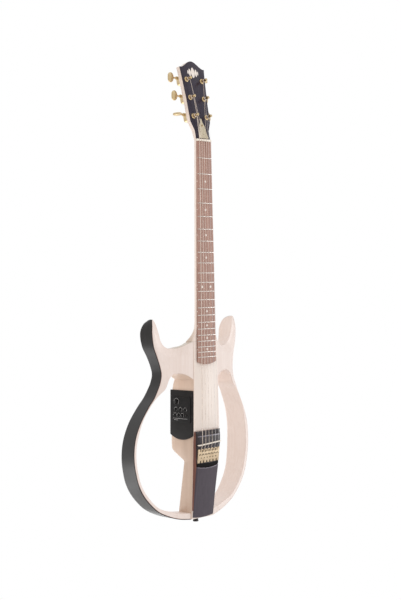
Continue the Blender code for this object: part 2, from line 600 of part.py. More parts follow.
loop = [(PANEL_Y[0], PANEL_Z[0]), (PANEL_Y[1], PANEL_Z[0]), (PANEL_Y[1], PANEL_Z[1])]
mid, reach = (PANEL_Y[0] + PANEL_Y[1]) / 2, (PANEL_Y[1] - PANEL_Y[0]) / 2
for k in range(1, 8):
    t = 1 - 2 * k / 8.0
    loop.append((mid + reach * t, PANEL_Z[1] + (PANEL_Z[2] - PANEL_Z[1]) * (1 - t * t)))
loop.append((PANEL_Y[0], PANEL_Z[1]))
panel = loft("preamp_panel", [[on_wall(y, z, 0.3) for y, z in loop], [on_wall(y, z, 2.3) for y, z in loop]], PANEL)


def wall_prism(name, y0, y1, z0, z1, a, b, mat=None, hidden=True):
    pts = [(y0, z0), (y1, z0), (y1, z1), (y0, z1)]
    return loft(name, [[on_wall(y, z, a) for y, z in pts], [on_wall(y, z, b) for y, z in pts]], mat, hidden=hidden)


combine(panel, [wall_prism("panel_window", 15.5, 66.5, -604.5, -555.5, -2, 5)])
case = wall_prism("preamp_case", BEZEL_Y[0], BEZEL_Y[1], BEZEL_Z[0], BEZEL_Z[1], 2.6, 4.0, CASE, hidden=False)
combine(case, [wall_prism("case_body", 16.2, 65.8, -603.8, -556.2, -20.0, 3.2)], "UNION")
cutters = []
for name, (y, z, r) in list(KNOBS.items()) + [("phase_button", PHASE_BUTTON)]:
    cutters.append(rod("shaft_hole", on_wall(y, z, -2.0), on_wall(y, z, 8), 1.3, 8))
    if name == "phase_button":
        cutters.append(rod("button_well", on_wall(y, z, 1.0), on_wall(y, z, 8), 2.3, 10))
combine(case, cutters)
for name, (y, z, r) in KNOBS.items():
    h = 6.5 if r > 4 else 4.6
    prof = [(0, -1.0), (1.0, -1.0), (1.0, 4.4), (r, 4.4), (r, 4.4 + h - 0.8), (r - 0.6, 4.4 + h), (0, 4.4 + h)]
    lathe(name, prof, 12 if r > 4 else 8, KNOB, frame_z(on_wall(y, z), WALL_N, WALL_V))
y, z, r = PHASE_BUTTON
lathe("phase_button", [(0, -0.2), (1.0, -0.2), (1.0, 2.6), (r, 2.6), (r, 5.6), (0, 5.9)], 10, KNOB, frame_z(on_wall(y, z), WALL_N, WALL_V))

# ---------------------------------------------------------------- output jack, its lead, and the strap button
jack = lathe("end_pin_jack", [(5.1, 34.0), (5.1, -0.3), (7.4, -0.3), (7.4, -2.2), (5.6, -3.0), (5.6, -8.0), (6.2, -9.0),
                              (6.2, -11.0), (5.4, -11.0), (3.5, -11.0), (3.5, 26.0), (0, 26.0)][::-1], 12, JACK,
             frame_z((0, JACK_Y, BODY_END), (0, 0, 1)))
lead_pts = [Vector(p) for p in curve_through([
    (0, JACK_Y, BODY_END + 34.3), (0, JACK_Y - 4.6, BODY_END + 69.0), (0, 28.4, -680.0), (0, 24.5, -650.0),
    (-1.0, 27.5, -628.0), (-6.0, 35.0, -608.0), (-14.0, 39.5, -599.0), (-19.6, 40.0, -598.0)], 4)]
cu = bpy.data.curves.new("output_lead", "CURVE")
cu.dimensions = "3D"
cu.bevel_depth = 1.5 * MM
cu.bevel_resolution = 2
cu.use_fill_caps = True
sp = cu.splines.new("POLY")
sp.points.add(len(lead_pts) - 1)
for q, p in zip(sp.points, lead_pts):
    q.co = (*(p * MM), 1)
lead = bpy.data.objects.new("output_lead", cu)
bpy.context.scene.collection.objects.link(lead)
cu.materials.append(LEAD)

SLOPE_N = Vector((0, 1, 0.475)).normalized()        # out of the sloping back of the heel
seat = Vector((0, 47.5, -470.0))
lathe("strap_button", [(0, 0.3), (7.0, 0.3), (7.0, 1.6), (4.0, 4.0), (3.8, 9.0), (7.2, 12.0), (7.2, 13.4), (6.4, 14.2), (0, 14.2)],
      14, GOLD, frame_z(seat, SLOPE_N))

# ---------------------------------------------------------------- tuners
def ellipse_ring(x, az, ay, seg=10):
    return [(x, ay * math.sin(2 * math.pi * k / seg), az * math.cos(2 * math.pi * k / seg)) for k in range(seg)]


# key along local +X from the worm to the button, turning about local X
KEY_SECTIONS = [(-7.0, 2.2, 2.2), (6.2, 2.2, 2.2), (6.4, 1.5, 1.5), (9.3, 1.5, 1.5), (9.5, 3.2, 3.2), (11.2, 3.2, 3.2),
                (11.4, 2.0, 2.0), (19.2, 1.9, 1.9), (20.4, 5.6, 2.7), (22.6, 9.2, 3.5), (27.5, 11.0, 3.7), (31.8, 9.4, 3.2), (34.2, 5.4, 2.2)]

face_frames = {}
template = None
for side, label in ((-1, "bass"), (1, "treble")):
    for k, (px, pz) in enumerate(POSTS):
        base = on_head(side * px, pz)
        tag = "%s_%d" % (label, k + 1)
        # post frame: local Z out of the head's face, local X to the treble side
        pf = frame_z(base, FRONT_N, Vector((1, 0, 0)))
        gear = -(VENEER_T + GAP + HEAD_T + WORM_DEPTH)
        lathe("tuner_post_" + tag, [(0, gear - 2.2), (5.6, gear - 2.2), (5.6, gear + 2.2), (3.0, gear + 2.2), (3.0, 5.0),
                                    (2.6, 6.5), (2.6, 9.5), (3.0, 11.0), (3.0, POST_H - 0.6), (2.4, POST_H), (0, POST_H)],
              10, GOLD, pf)
        # housing: face bushing, sleeve through the head and gear case behind it
        back = -(VENEER_T + GAP + HEAD_T + GAP)
        hs = lathe("tuner_housing_" + tag, [(4.6, back - 1.4), (4.6, 0.3), (5.9, 0.3), (5.9, 1.2), (5.3, 2.4), (4.6, 2.4)], 12, GOLD, pf)
        # local Y of the post frame points up the head: the worm lies above the post on both sides
        case_pts = [(-4.6, -8.9), (4.6, -8.9), (7.3, -5.6), (7.6, 1.6), (7.6, 10.2), (5.8, 12.5), (-5.8, 12.5), (-7.6, 10.2), (-7.6, 1.6), (-7.3, -5.6)]
        gc = loft("gear_case", [[(x, y, back) for x, y in case_pts], [(x, y, back - 9.4) for x, y in case_pts],
                                [(x * 0.8, (y - 2) * 0.84 + 2, back - 11.4) for x, y in case_pts]], None, matrix=pf, hidden=True)
        combine(hs, [gc], "UNION")
        worm = Vector(pf.translation) / MM + FRONT_N * gear + Vector((0, HEAD_SIN, HEAD_COS)) * WORM_OFF
        combine(hs, [lathe("post_bore", [(3.3, gear - 2.6), (3.3, 4)], 12, None, pf, hidden=True),
                     lathe("wheel_room", [(6.0, gear - 2.7), (6.0, gear + 2.7)], 12, None, pf, hidden=True),
                     rod("worm_bore", worm + Vector((-7.6 * side * -1, 0, 0)) * -1, worm + Vector((side * 12.0, 0, 0)), 2.6, 10)])
        kf = Matrix.Translation(worm * MM) @ Matrix.Rotation(math.radians(90) if (k == 0) == (side < 0) and k != 1 else 0, 4, "X")
        rings = [ellipse_ring(side * x, az, ay) for x, az, ay in KEY_SECTIONS]
        loft("tuner_key_" + tag, rings, GOLD, 40, matrix=kf)


# ---------------------------------------------------------------- strings
def tube(name, pts, radii, mat, seg=6):
    rings = []
    n = len(pts)
    up = Vector((1, 0, 0))
    for i, p in enumerate(pts):
        d = (pts[min(i + 1, n - 1)] - pts[max(i - 1, 0)]).normalized()
        x = (up - d * up.dot(d)).normalized()
        y = d.cross(x)
        rings.append([p + (x * math.cos(2 * math.pi * k / seg) + y * math.sin(2 * math.pi * k / seg)) * radii[i] for k in range(seg)])
    return loft(name, rings, mat, 60)


for k in range(6):
    r = STRING_R[k]
    side = -1 if k < 3 else 1
    post = (k if k < 3 else 5 - k)
    px, pz = POSTS[post]
    xn = NUT_SPREAD * (k / 5.0 - 0.5)
    xs = string_x[k]
    wrap = 7.6 + (0.6 if post == 2 else 0)
    # the run leaves the post on its inner side, level with the windings
    end = on_head(side * px, pz, wrap) + Vector((-side * (2.6 + 2 * r + 0.35), 0, 0))
    y_nut, y_sad = -1.05 - GAP - r, -6.0 - GAP - r
    zs = -653.85 + xs * 4.0 / 72.0
    anchor = Vector((xs, plate_y(-668.4) + 0.3, -668.4))
    pts = [end, Vector((xn, y_nut + 0.25, 7.0)), Vector((xn, y_nut, 4.0)), Vector((xn, y_nut, 0.0)),
           Vector((xs, y_sad, zs + 1.2)), Vector((xs, y_sad + 0.15, zs - 1.2)),
           Vector((xs, -2.9, -664.0)), anchor + Vector((0, -0.6, 1.9)), anchor + Vector((0, -0.2, 1.0)), anchor + Vector((0, 0.1, -1.2))]
    rad = [r] * 7 + [r, 1.1, 1.1]
    tube("string_%d" % (6 - k), pts, rad, BRONZE if r > 0.3 else PLAIN_STEEL)
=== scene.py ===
import math

import bmesh
import bpy
from mathutils import Matrix, Vector


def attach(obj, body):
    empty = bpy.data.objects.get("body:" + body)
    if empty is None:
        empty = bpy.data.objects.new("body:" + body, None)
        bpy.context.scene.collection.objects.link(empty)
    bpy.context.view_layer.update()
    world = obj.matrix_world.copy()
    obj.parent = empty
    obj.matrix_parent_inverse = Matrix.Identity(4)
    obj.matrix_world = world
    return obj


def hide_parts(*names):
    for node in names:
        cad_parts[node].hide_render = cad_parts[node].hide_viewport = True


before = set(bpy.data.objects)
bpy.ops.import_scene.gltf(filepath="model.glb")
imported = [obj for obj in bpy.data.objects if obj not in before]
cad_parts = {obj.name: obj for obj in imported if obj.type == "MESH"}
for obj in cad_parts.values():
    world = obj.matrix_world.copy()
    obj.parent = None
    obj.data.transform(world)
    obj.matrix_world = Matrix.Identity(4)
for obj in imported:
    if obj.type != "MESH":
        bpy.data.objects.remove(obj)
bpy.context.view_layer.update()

MM = 0.001
RAD = math.radians

# ================================================================ driving dimensions, in mm, as in the CAD
SCALE, FRETS = 648.0, 22
NUT_HALF, TWELFTH_HALF = 21.5, 26.5
BOARD_T, CROWN_R, FRET_H, FB_END = 4.9, 406.0, 1.0, -482.0
TOP_Y = 5.2
HEAD_Y0, HEAD_TILT, HEAD_T, VENEER_T = 2.5, 0.2, 11.0, 2.0
HEAD_TOP, HEAD_SHOULDER, HEAD_HALF = 177.0, 162.0, 37.7
POSTS = [(20.5, 54.0), (21.4, 94.7), (24.0, 134.5)]
POST_H, WORM_OFF, WORM_DEPTH = 15.5, 8.3, 6.5
HEEL_Z, BODY_END, BOX_BACK, BACK_COVER_T = -432.0, -818.0, 76.0, 3.2
GAP, SLOPE_BASE, RIM_FACE, BAND_T = 0.3, 0.082, 8.5, 1.5
NUT_SPREAD, SADDLE_SPREAD = 35.0, 52.0
STRING_R = (0.66, 0.53, 0.42, 0.33, 0.25, 0.20)
PANEL_Y, PANEL_Z = (5.6, 74.6), (-538.0, -635.0, -645.5)
BEZEL_Y, BEZEL_Z = (12.0, 70.0), (-608.0, -552.0)
KNOBS = {
    "volume_knob": (54.0, -563.0, 4.6),
    "bass_knob": (55.5, -579.5, 2.7), "middle_knob": (41.5, -579.5, 2.7), "treble_knob": (27.5, -579.5, 2.7),
    "presence_knob": (57.5, -592.0, 2.7), "notch_knob": (46.5, -592.0, 2.7), "blend_knob": (35.5, -592.0, 2.7),
}
PHASE_BUTTON = (23.5, -592.0, 1.9)
JACK_Y = 42.0
HINGE_Y, HINGE_Z = 74.3, -571.6
HEAD_COS = 1.0 / math.sqrt(1 + HEAD_TILT ** 2)
HEAD_SIN = HEAD_TILT * HEAD_COS
FRONT_N = Vector((0, -HEAD_COS, HEAD_SIN))
BACK_N = -FRONT_N
WALL_SLOPE = (41.2 - 38.0) / (650.0 - 505.0)
WALL_N = Vector((-1, 0, WALL_SLOPE)).normalized()
WALL_V = Vector((WALL_SLOPE, 0, 1)).normalized()


# ================================================================ materials
def lin(r, g, b):
    """Linear colour from 0-255 display values."""
    out = []
    for c in (r, g, b):
        c /= 255.0
        out.append(c / 12.92 if c <= 0.04045 else ((c + 0.055) / 1.055) ** 2.4)
    return tuple(out)


class Graph:
    """A material's node tree, with short calls for the nodes used here."""

    def __init__(self, name, rough=0.5, metal=0.0, coat=0.0, coat_rough=0.1, ior=1.5, spec=0.5):
        self.mat = bpy.data.materials.new(name)
        self.mat.use_nodes = True
        self.tree = self.mat.node_tree
        self.shader = self.tree.nodes["Principled BSDF"]
        self.set("Roughness", rough)
        self.set("Metallic", metal)
        self.set("Coat Weight", coat)
        self.set("Coat Roughness", coat_rough)
        self.set("IOR", ior)
        self.set("Specular IOR Level", spec)

    def set(self, socket, value):
        self.shader.inputs[socket].default_value = value

    def node(self, kind, **values):
        n = self.tree.nodes.new(kind)
        for key, value in values.items():
            setattr(n, key, value)
        return n

    def link(self, a, b):
        self.tree.links.new(a, b)

    def place(self, scale, uv=False, turn=(0, 0, 0)):
        """Coordinates on the piece itself, scaled."""
        m = self.node("ShaderNodeMapping")
        m.inputs["Scale"].default_value = scale
        m.inputs["Rotation"].default_value = turn
        if uv:
            src = self.node("ShaderNodeUVMap", uv_map="Grain").outputs["UV"]
        else:
            src = self.node("ShaderNodeTexCoord").outputs["Object"]
        self.link(src, m.inputs["Vector"])
        return m.outputs["Vector"]

    def noise(self, at, scale=1.0, detail=3.0, rough=0.5, distort=0.0):
        n = self.node("ShaderNodeTexNoise")
        n.inputs["Scale"].default_value = scale
        n.inputs["Detail"].default_value = detail
        n.inputs["Roughness"].default_value = rough
        n.inputs["Distortion"].default_value = distort
        self.link(at, n.inputs["Vector"])
        return n.outputs["Fac"]

    def wave(self, at, scale, distort=0.0, direction="X", detail=2.0, detail_scale=1.0, profile="SIN"):
        n = self.node("ShaderNodeTexWave", wave_type="BANDS", bands_direction=direction, wave_profile=profile)
        n.inputs["Scale"].default_value = scale
        n.inputs["Distortion"].default_value = distort
        n.inputs["Detail"].default_value = detail
        n.inputs["Detail Scale"].default_value = detail_scale
        self.link(at, n.inputs["Vector"])
        return n.outputs["Fac"]

    def spread(self, fac, low, high, to_low=0.0, to_high=1.0):
        n = self.node("ShaderNodeMapRange")
        for key, value in (("From Min", low), ("From Max", high), ("To Min", to_low), ("To Max", to_high)):
            n.inputs[key].default_value = value
        self.link(fac, n.inputs["Value"])
        return n.outputs["Result"]

    def mix(self, fac, a, b, how="MIX"):
        n = self.node("ShaderNodeMix", data_type="RGBA", blend_type=how)
        if isinstance(fac, (int, float)):
            n.inputs[0].default_value = fac
        else:
            self.link(fac, n.inputs[0])
        for socket, value in ((n.inputs[6], a), (n.inputs[7], b)):
            if isinstance(value, tuple):
                socket.default_value = (*value, 1)
            else:
                self.link(value, socket)
        return n.outputs[2]

    def math(self, op, a, b=0.0):
        n = self.node("ShaderNodeMath", operation=op)
        for socket, value in ((n.inputs[0], a), (n.inputs[1], b)):
            if isinstance(value, (int, float)):
                socket.default_value = value
            else:
                self.link(value, socket)
        return n.outputs[0]

    def colour(self, value):
        self.link(value, self.shader.inputs["Base Color"])

    def roughness(self, value):
        self.link(value, self.shader.inputs["Roughness"])

    def bump(self, height, strength=0.1, distance=0.0002):
        n = self.node("ShaderNodeBump")
        n.inputs["Strength"].default_value = strength
        n.inputs["Distance"].default_value = distance
        self.link(height, n.inputs["Height"])
        self.link(n.outputs["Normal"], self.shader.inputs["Normal"])
        if self.shader.inputs["Coat Weight"].default_value > 0:
            soft = self.node("ShaderNodeBump")
            soft.inputs["Strength"].default_value = strength * 0.3
            soft.inputs["Distance"].default_value = distance
            self.link(height, soft.inputs["Height"])
            self.link(soft.outputs["Normal"], self.shader.inputs["Coat Normal"])


def maple(name, light=(240, 225, 216), dark=(231, 213, 202), shaded=None, heel=None):
    """Satin-lacquered maple: soft streaks along the grain, faint cross figure, small darker flecks; the optional tints
    add painted shade, darker by place on the piece.
    """
    g = Graph(name, rough=0.42, coat=0.3, coat_rough=0.2)
    a = g.noise(g.place((210, 210, 5)), 1.0, 4.0, 0.55, 0.3)
    b = g.noise(g.place((22, 22, 2.4)), 1.0, 2.0, 0.5, 0.6)
    c = g.noise(g.place((8, 8, 110)), 1.0, 2.0, 0.5, 0.4)
    tone = g.mix(g.spread(a, 0.3, 0.7), lin(*dark), lin(*light))
    tone = g.mix(g.spread(b, 0.35, 0.65, 0.0, 0.5), tone, lin(*[v + 2 for v in light]))
    tone = g.mix(g.spread(c, 0.42, 0.62, 0.0, 0.14), tone, lin(*dark))
    flecks = g.noise(g.place((900, 900, 60)), 1.0, 1.0, 0.5)
    tone = g.mix(g.spread(flecks, 0.66, 0.74, 0.0, 0.25), tone, lin(198, 164, 136))
    # shaded: painted shade, darkest towards the front and the lower end of the piece, fading towards the back and the
    # top
    if shaded:
        parts = g.node("ShaderNodeSeparateXYZ")
        g.link(g.node("ShaderNodeTexCoord").outputs["Object"], parts.inputs[0])
        soft = g.mix(0.1, parts.outputs["Y"], b)
        lower = g.spread(parts.outputs["Z"], -0.62, -0.53, 1.0, 0.25)
        tone = g.mix(g.math("MULTIPLY", g.spread(soft, 0.06, 0.12, 1.0, 0.3), lower), tone, g.mix(1.0, tone, lin(*shaded), "MULTIPLY"))
    # heel: painted shade on the neck's heel, darkest at its lower end and behind its front face
    if heel:
        parts = g.node("ShaderNodeSeparateXYZ")
        g.link(g.node("ShaderNodeTexCoord").outputs["Object"], parts.inputs[0])
        low = g.spread(parts.outputs["Z"], -0.432, -0.388, 1.0, 0.0)
        behind = g.spread(parts.outputs["Y"], 0.0065, 0.0125)
        tone = g.mix(g.math("MULTIPLY", low, behind), tone, g.mix(1.0, tone, lin(*heel), "MULTIPLY"))
    g.colour(tone)
    g.roughness(g.spread(a, 0.3, 0.7, 0.34, 0.46))
    g.bump(g.mix(0.5, a, flecks), 0.05, 0.0002)
    return g.mat


def spruce(name):
    """Fine straight growth lines along the board, lighter between them."""
    g = Graph(name, rough=0.42, coat=0.3, coat_rough=0.25)
    at = g.place((1, 0.2, 0.02))
    lines = g.wave(at, 190, 1.2, "X", 2.0, 60.0)
    silk = g.noise(g.place((500, 60, 14)), 1.0, 3.0, 0.6)
    broad = g.noise(g.place((22, 8, 2)), 1.0, 2.0, 0.5)
    tone = g.mix(g.spread(lines, 0.1, 0.95), lin(233, 219, 209), lin(241, 230, 222))
    tone = g.mix(g.spread(silk, 0.35, 0.65, 0.0, 0.5), tone, lin(241, 230, 222))
    tone = g.mix(g.spread(broad, 0.4, 0.65, 0.0, 0.3), tone, lin(236, 222, 212))
    g.colour(tone)
    g.roughness(g.spread(silk, 0.3, 0.7, 0.36, 0.48))
    g.bump(lines, 0.04, 0.0002)
    return g.mat


def rosewood(name):
    """Reddish brown wood with darker streaks and long open pores."""
    g = Graph(name, rough=0.5, coat=0.0, spec=0.5)
    streak = g.noise(g.place((260, 160, 5)), 1.0, 5.0, 0.6, 0.8)
    broad = g.noise(g.place((45, 30, 2.2)), 1.0, 2.0, 0.5, 0.6)
    pores = g.noise(g.place((1800, 1200, 70)), 1.0, 2.0, 0.6)
    tone = g.mix(g.spread(streak, 0.34, 0.66), lin(137, 100, 89), lin(193, 155, 140))
    tone = g.mix(g.spread(broad, 0.38, 0.66, 0.0, 0.6), tone, lin(178, 137, 123))
    dots = g.spread(pores, 0.60, 0.68)
    tone = g.mix(g.math("MULTIPLY", dots, 0.55), tone, lin(48, 27, 22))
    g.colour(tone)
    g.roughness(g.spread(streak, 0.3, 0.7, 0.42, 0.58))
    g.bump(g.spread(pores, 0.58, 0.70, 1.0, 0.0), 0.25, 0.0002)
    return g.mat


def red_wood(name):
    g = Graph(name, rough=0.4, coat=0.25, coat_rough=0.2)
    streak = g.noise(g.place((200, 200, 5)), 1.0, 4.0, 0.6, 0.5)
    pores = g.noise(g.place((1500, 1500, 60)), 1.0, 2.0, 0.6)
    tone = g.mix(g.spread(streak, 0.35, 0.65), lin(88, 46, 38), lin(128, 76, 58))
    tone = g.mix(g.spread(pores, 0.6, 0.7, 0.0, 0.6), tone, lin(52, 26, 22))
    g.colour(tone)
    g.roughness(g.spread(streak, 0.3, 0.7, 0.34, 0.5))
    g.bump(pores, 0.12, 0.0002)
    return g.mat


def black_wood(name, dark, light, rough, coat, coat_rough, pore=0.3, uv=False, spec=0.5):
    """Black-stained wood: near-black streaks, a few pores that catch the light."""
    g = Graph(name, rough=rough, coat=coat, coat_rough=coat_rough, spec=spec)
    along, fine = ((6, 300, 1), (60, 1500, 1)) if uv else ((300, 300, 6), (1500, 1500, 60))
    streak = g.noise(g.place(along, uv), 1.0, 4.0, 0.6, 0.3)
    pores = g.noise(g.place(fine, uv), 1.0, 2.0, 0.6)
    tone = g.mix(g.spread(streak, 0.35, 0.65), dark, light)
    tone = g.mix(g.spread(pores, 0.62, 0.72, 0.0, pore), tone, tuple(c * 0.4 for c in dark))
    g.colour(tone)
    g.roughness(g.spread(streak, 0.3, 0.7, rough - 0.05, rough + 0.07))
    g.bump(g.mix(0.5, streak, pores), 0.08, 0.0002)
    return g.mat


def bone(name, base=(253, 243, 230)):
    g = Graph(name, rough=0.35, coat=0.2, coat_rough=0.15)
    cloud = g.noise(g.place((120, 120, 120)), 1.0, 3.0, 0.5, 0.4)
    fibre = g.noise(g.place((90, 900, 900)), 1.0, 2.0, 0.5)
    tone = g.mix(g.spread(cloud, 0.35, 0.65), lin(*[v - 12 for v in base]), lin(*base))
    tone = g.mix(g.spread(fibre, 0.5, 0.75, 0.0, 0.25), tone, lin(base[0] - 24, base[1] - 32, base[2] - 44))
    g.colour(tone)
    g.roughness(g.spread(cloud, 0.3, 0.7, 0.28, 0.42))
    g.bump(fibre, 0.05, 0.0001)
    return g.mat


def metal(name, light, dark, rough=(0.16, 0.32), stretch=(1, 1, 1), scale=350.0, bump=0.05, metallic=1.0, marks=0.25):
    """Plated metal: the tone and the polish vary a little, with faint handling marks."""
    g = Graph(name, rough=rough[0], metal=metallic)
    cloud = g.noise(g.place(tuple(60 * s for s in stretch)), 1.0, 3.0, 0.5, 0.5)
    fine = g.noise(g.place(tuple(scale * s for s in stretch)), 1.0, 4.0, 0.65)
    tone = g.mix(g.spread(cloud, 0.35, 0.68), lin(*dark), lin(*light))
    tone = g.mix(g.spread(fine, 0.58, 0.72, 0.0, marks), tone, lin(*[v * 0.72 for v in dark]))
    g.colour(tone)
    g.roughness(g.spread(fine, 0.35, 0.65, rough[0], rough[1]))
    g.bump(fine, bump, 0.0001)
    return g.mat


def plastic(name, light, dark, rough=(0.38, 0.5), grain=2600.0, bump=0.1, coat=0.0, spec=0.5):
    """Moulded plastic: fine spark-eroded grain and a slight cloud in its tone."""
    g = Graph(name, rough=rough[0], coat=coat, spec=spec)
    cloud = g.noise(g.place((45, 45, 45)), 1.0, 2.0, 0.5)
    fine = g.noise(g.place((grain, grain, grain)), 1.0, 2.0, 0.5)
    tone = g.mix(g.spread(cloud, 0.35, 0.65), dark, light)
    g.colour(g.mix(g.spread(fine, 0.4, 0.7, 0.0, 0.2), tone, tuple(c * 0.6 for c in dark)))
    g.roughness(g.spread(cloud, 0.3, 0.7, rough[0], rough[1]))
    g.bump(fine, bump, 0.0001)
    return g.mat


def wire(name, light, dark, pitch, rough=(0.22, 0.34)):
    """String wire: a close winding across the run, with a slightly tarnished tone and painted shade in the gaps between
    its turns.
    """
    g = Graph(name, rough=rough[0], metal=0.35)
    tarnish = g.noise(g.place((90, 90, 30)), 1.0, 3.0, 0.6)
    tone = g.mix(g.spread(tarnish, 0.35, 0.68), lin(*dark), lin(*light))
    g.roughness(g.spread(tarnish, 0.3, 0.7, rough[0], rough[1]))
    if pitch:
        turns = g.wave(g.place((1, 1, 1)), 1000.0 / (pitch * 3.1416 * 2) * 0.5, 0.0, "Z", 0.0)
        # painted shade: darker lines in the gaps between the winding's turns
        g.colour(g.mix(g.spread(turns, 0.0, 0.35, 0.35, 0.0), tone, lin(*[v * 0.6 for v in dark])))
        g.bump(turns, 0.5, 0.0001)
    else:
        g.colour(tone)
        g.bump(tarnish, 0.03, 0.0001)
    return g.mat


MAPLE = maple("maple_satin")
MAPLE_BENT = maple("maple_carved_wing", (240, 225, 218), (232, 214, 205))
# Painted shade: a darker copy of the maple for walls that stand in shade, with more painted shade towards the front and
# the lower end
MAPLE_WALL_SHADE = maple("maple_wall_painted_shade", (232, 209, 192), (221, 194, 173), (202, 195, 189))
SPRUCE = spruce("spruce_top")
ROSEWOOD = rosewood("rosewood_board")
RED_WOOD = red_wood("red_brown_ply")
BLACK_BAND = black_wood("black_side_ply", lin(22, 20, 21), lin(30, 28, 29), 0.33, 0.0, 0.25, uv=True, spec=0.38)
BLACK_HEAD = black_wood("black_head_face", lin(34, 26, 42), lin(46, 37, 56), 0.26, 0.0, 0.16, spec=0.4)
EBONY = black_wood("ebony_bridge", lin(34, 27, 31), lin(48, 39, 44), 0.32, 0.0, 0.22, spec=0.36)
TAIL_BLACK = black_wood("ebony_tail", lin(58, 49, 60), lin(67, 57, 68), 0.36, 0.0, 0.3, spec=0.5)
# Painted highlight: a lighter ebony laid along the bridge's ridge and the tail cover's top lip
EBONY_HIGHLIGHT = black_wood("ebony_painted_highlight", lin(104, 98, 108), lin(136, 130, 142), 0.22, 0.0, 0.2, spec=0.6)
# Neck maple, with painted shade on the heel's sides
MAPLE_NECK = maple("maple_neck", (243, 228, 219), (234, 216, 205), heel=(222, 216, 207))
# Painted shade: a darker maple for the walls round the bass cutaway that face up and stand in shade
MAPLE_CUTAWAY_SHADE = maple("maple_cutaway_painted_shade", (214, 203, 191), (198, 185, 170))
BONE = bone("bone")
PEARL = bone("pearl_dot", (244, 234, 226))
GOLD = metal("gold_plate", (226, 206, 168), (206, 180, 136), rough=(0.13, 0.23))
PLATE_GOLD = metal("gold_string_plate", (214, 194, 165), (192, 170, 140), rough=(0.34, 0.48), scale=260.0, marks=0.3, metallic=0.6)
COVER_GOLD = metal("satin_gold_cover", (234, 225, 202), (196, 184, 158), rough=(0.36, 0.5), stretch=(1, 1, 0.15), metallic=0.7)
STEEL = metal("rod_steel", (186, 186, 190), (150, 150, 156), rough=(0.25, 0.4))
FRET_METAL = metal("nickel_fret_wire", (232, 226, 220), (206, 198, 192), rough=(0.16, 0.3), metallic=0.85)
BRONZE = wire("bronze_wound_wire", (244, 232, 222), (226, 208, 194), 0.22)
PLAIN = wire("plain_steel_wire", (240, 236, 236), (214, 208, 208), 0.0)
PANEL = plastic("panel_plastic_satin", lin(34, 33, 34), lin(27, 26, 27), (0.36, 0.46), 2200.0, 0.08, spec=0.21)
CASE = plastic("control_plate_plastic", lin(31, 31, 32), lin(24, 24, 25), (0.42, 0.52), 2600.0, 0.12, spec=0.22)
KNOB = plastic("knob_rubber", lin(24, 24, 25), lin(17, 17, 18), (0.45, 0.6), 3000.0, 0.15)
PRINT = plastic("panel_print", lin(214, 214, 216), lin(190, 190, 192), (0.5, 0.6), 2600.0, 0.02)
JACK_METAL = metal("black_plated_metal", (62, 60, 60), (38, 37, 38), rough=(0.22, 0.36), metallic=0.8)
BATTERY = plastic("battery_sleeve", lin(92, 96, 104), lin(74, 77, 84), (0.3, 0.42), 1500.0, 0.04, 0.2)
LEAD = plastic("lead_sheath_rubber", lin(30, 30, 31), lin(22, 22, 23), (0.5, 0.62), 1800.0, 0.1)
FOIL = metal("pickup_foil", (200, 176, 128), (176, 148, 100), rough=(0.3, 0.5), metallic=0.8)
# Painted shadow: a near-black, low-shine colour for slots, recesses and lips that stand in shade
SHADOW = plastic("recess_painted_shadow", lin(14, 12, 13), lin(9, 8, 9), (0.6, 0.7), 1800.0, 0.05, spec=0.15)


# ================================================================ mesh helpers
def smooth_by(ob, angle):
    ob.data.shade_smooth()
    ob.data.set_sharp_from_angle(angle=RAD(angle))


def add(name, verts, faces, mats, smooth=32, matrix=None, fmat=None, uv=None, close=True):
    """One object from points in mm. fmat gives each face's material number; uv gives each point's grain place."""
    me = bpy.data.meshes.new(name)
    me.from_pydata([(v[0] * MM, v[1] * MM, v[2] * MM) for v in verts], [], faces)
    for m in mats if isinstance(mats, (list, tuple)) else [mats]:
        if m is not None:
            me.materials.append(m)
    if fmat:
        me.polygons.foreach_set("material_index", fmat)
    if uv:
        layer = me.uv_layers.new(name="Grain")
        for loop in me.loops:
            layer.data[loop.index].uv = uv[loop.vertex_index]
    if close:
        bm = bmesh.new()
        bm.from_mesh(me)
        bmesh.ops.recalc_face_normals(bm, faces=bm.faces)
        if bm.calc_volume(signed=True) < 0:
            bmesh.ops.reverse_faces(bm, faces=bm.faces)
        bm.to_mesh(me)
        bm.free()
    ob = bpy.data.objects.new(name, me)
    bpy.context.scene.collection.objects.link(ob)
    if matrix is not None:
        ob.matrix_world = matrix
    if smooth:
        smooth_by(ob, smooth)
    return ob


def loft(name, rings, mats, smooth=32, rows=False, matrix=None, uv=None, ring_mats=None, wrap=True):
    n = len(rings[0])
    verts = [p for r in rings for p in r]
    faces, fmat = [], []
    for i in range(len(rings) - 1):
        for j in range(n):
            k = (j + 1) % n
            faces.append((i * n + j, i * n + k, (i + 1) * n + k, (i + 1) * n + j))
            fmat.append(ring_mats[j] if ring_mats else 0)
    for base in (0, (len(rings) - 1) * n):
        if rows:
            h = n // 2
            for j in range(h - 1):
                faces.append((base + j, base + j + 1, base + n - 2 - j, base + n - 1 - j))
                fmat.append(0)
        else:
            faces.append(tuple(range(base, base + n)))
            fmat.append(0)
    return add(name, verts, faces, mats, smooth, matrix, fmat if ring_mats else None, uv)


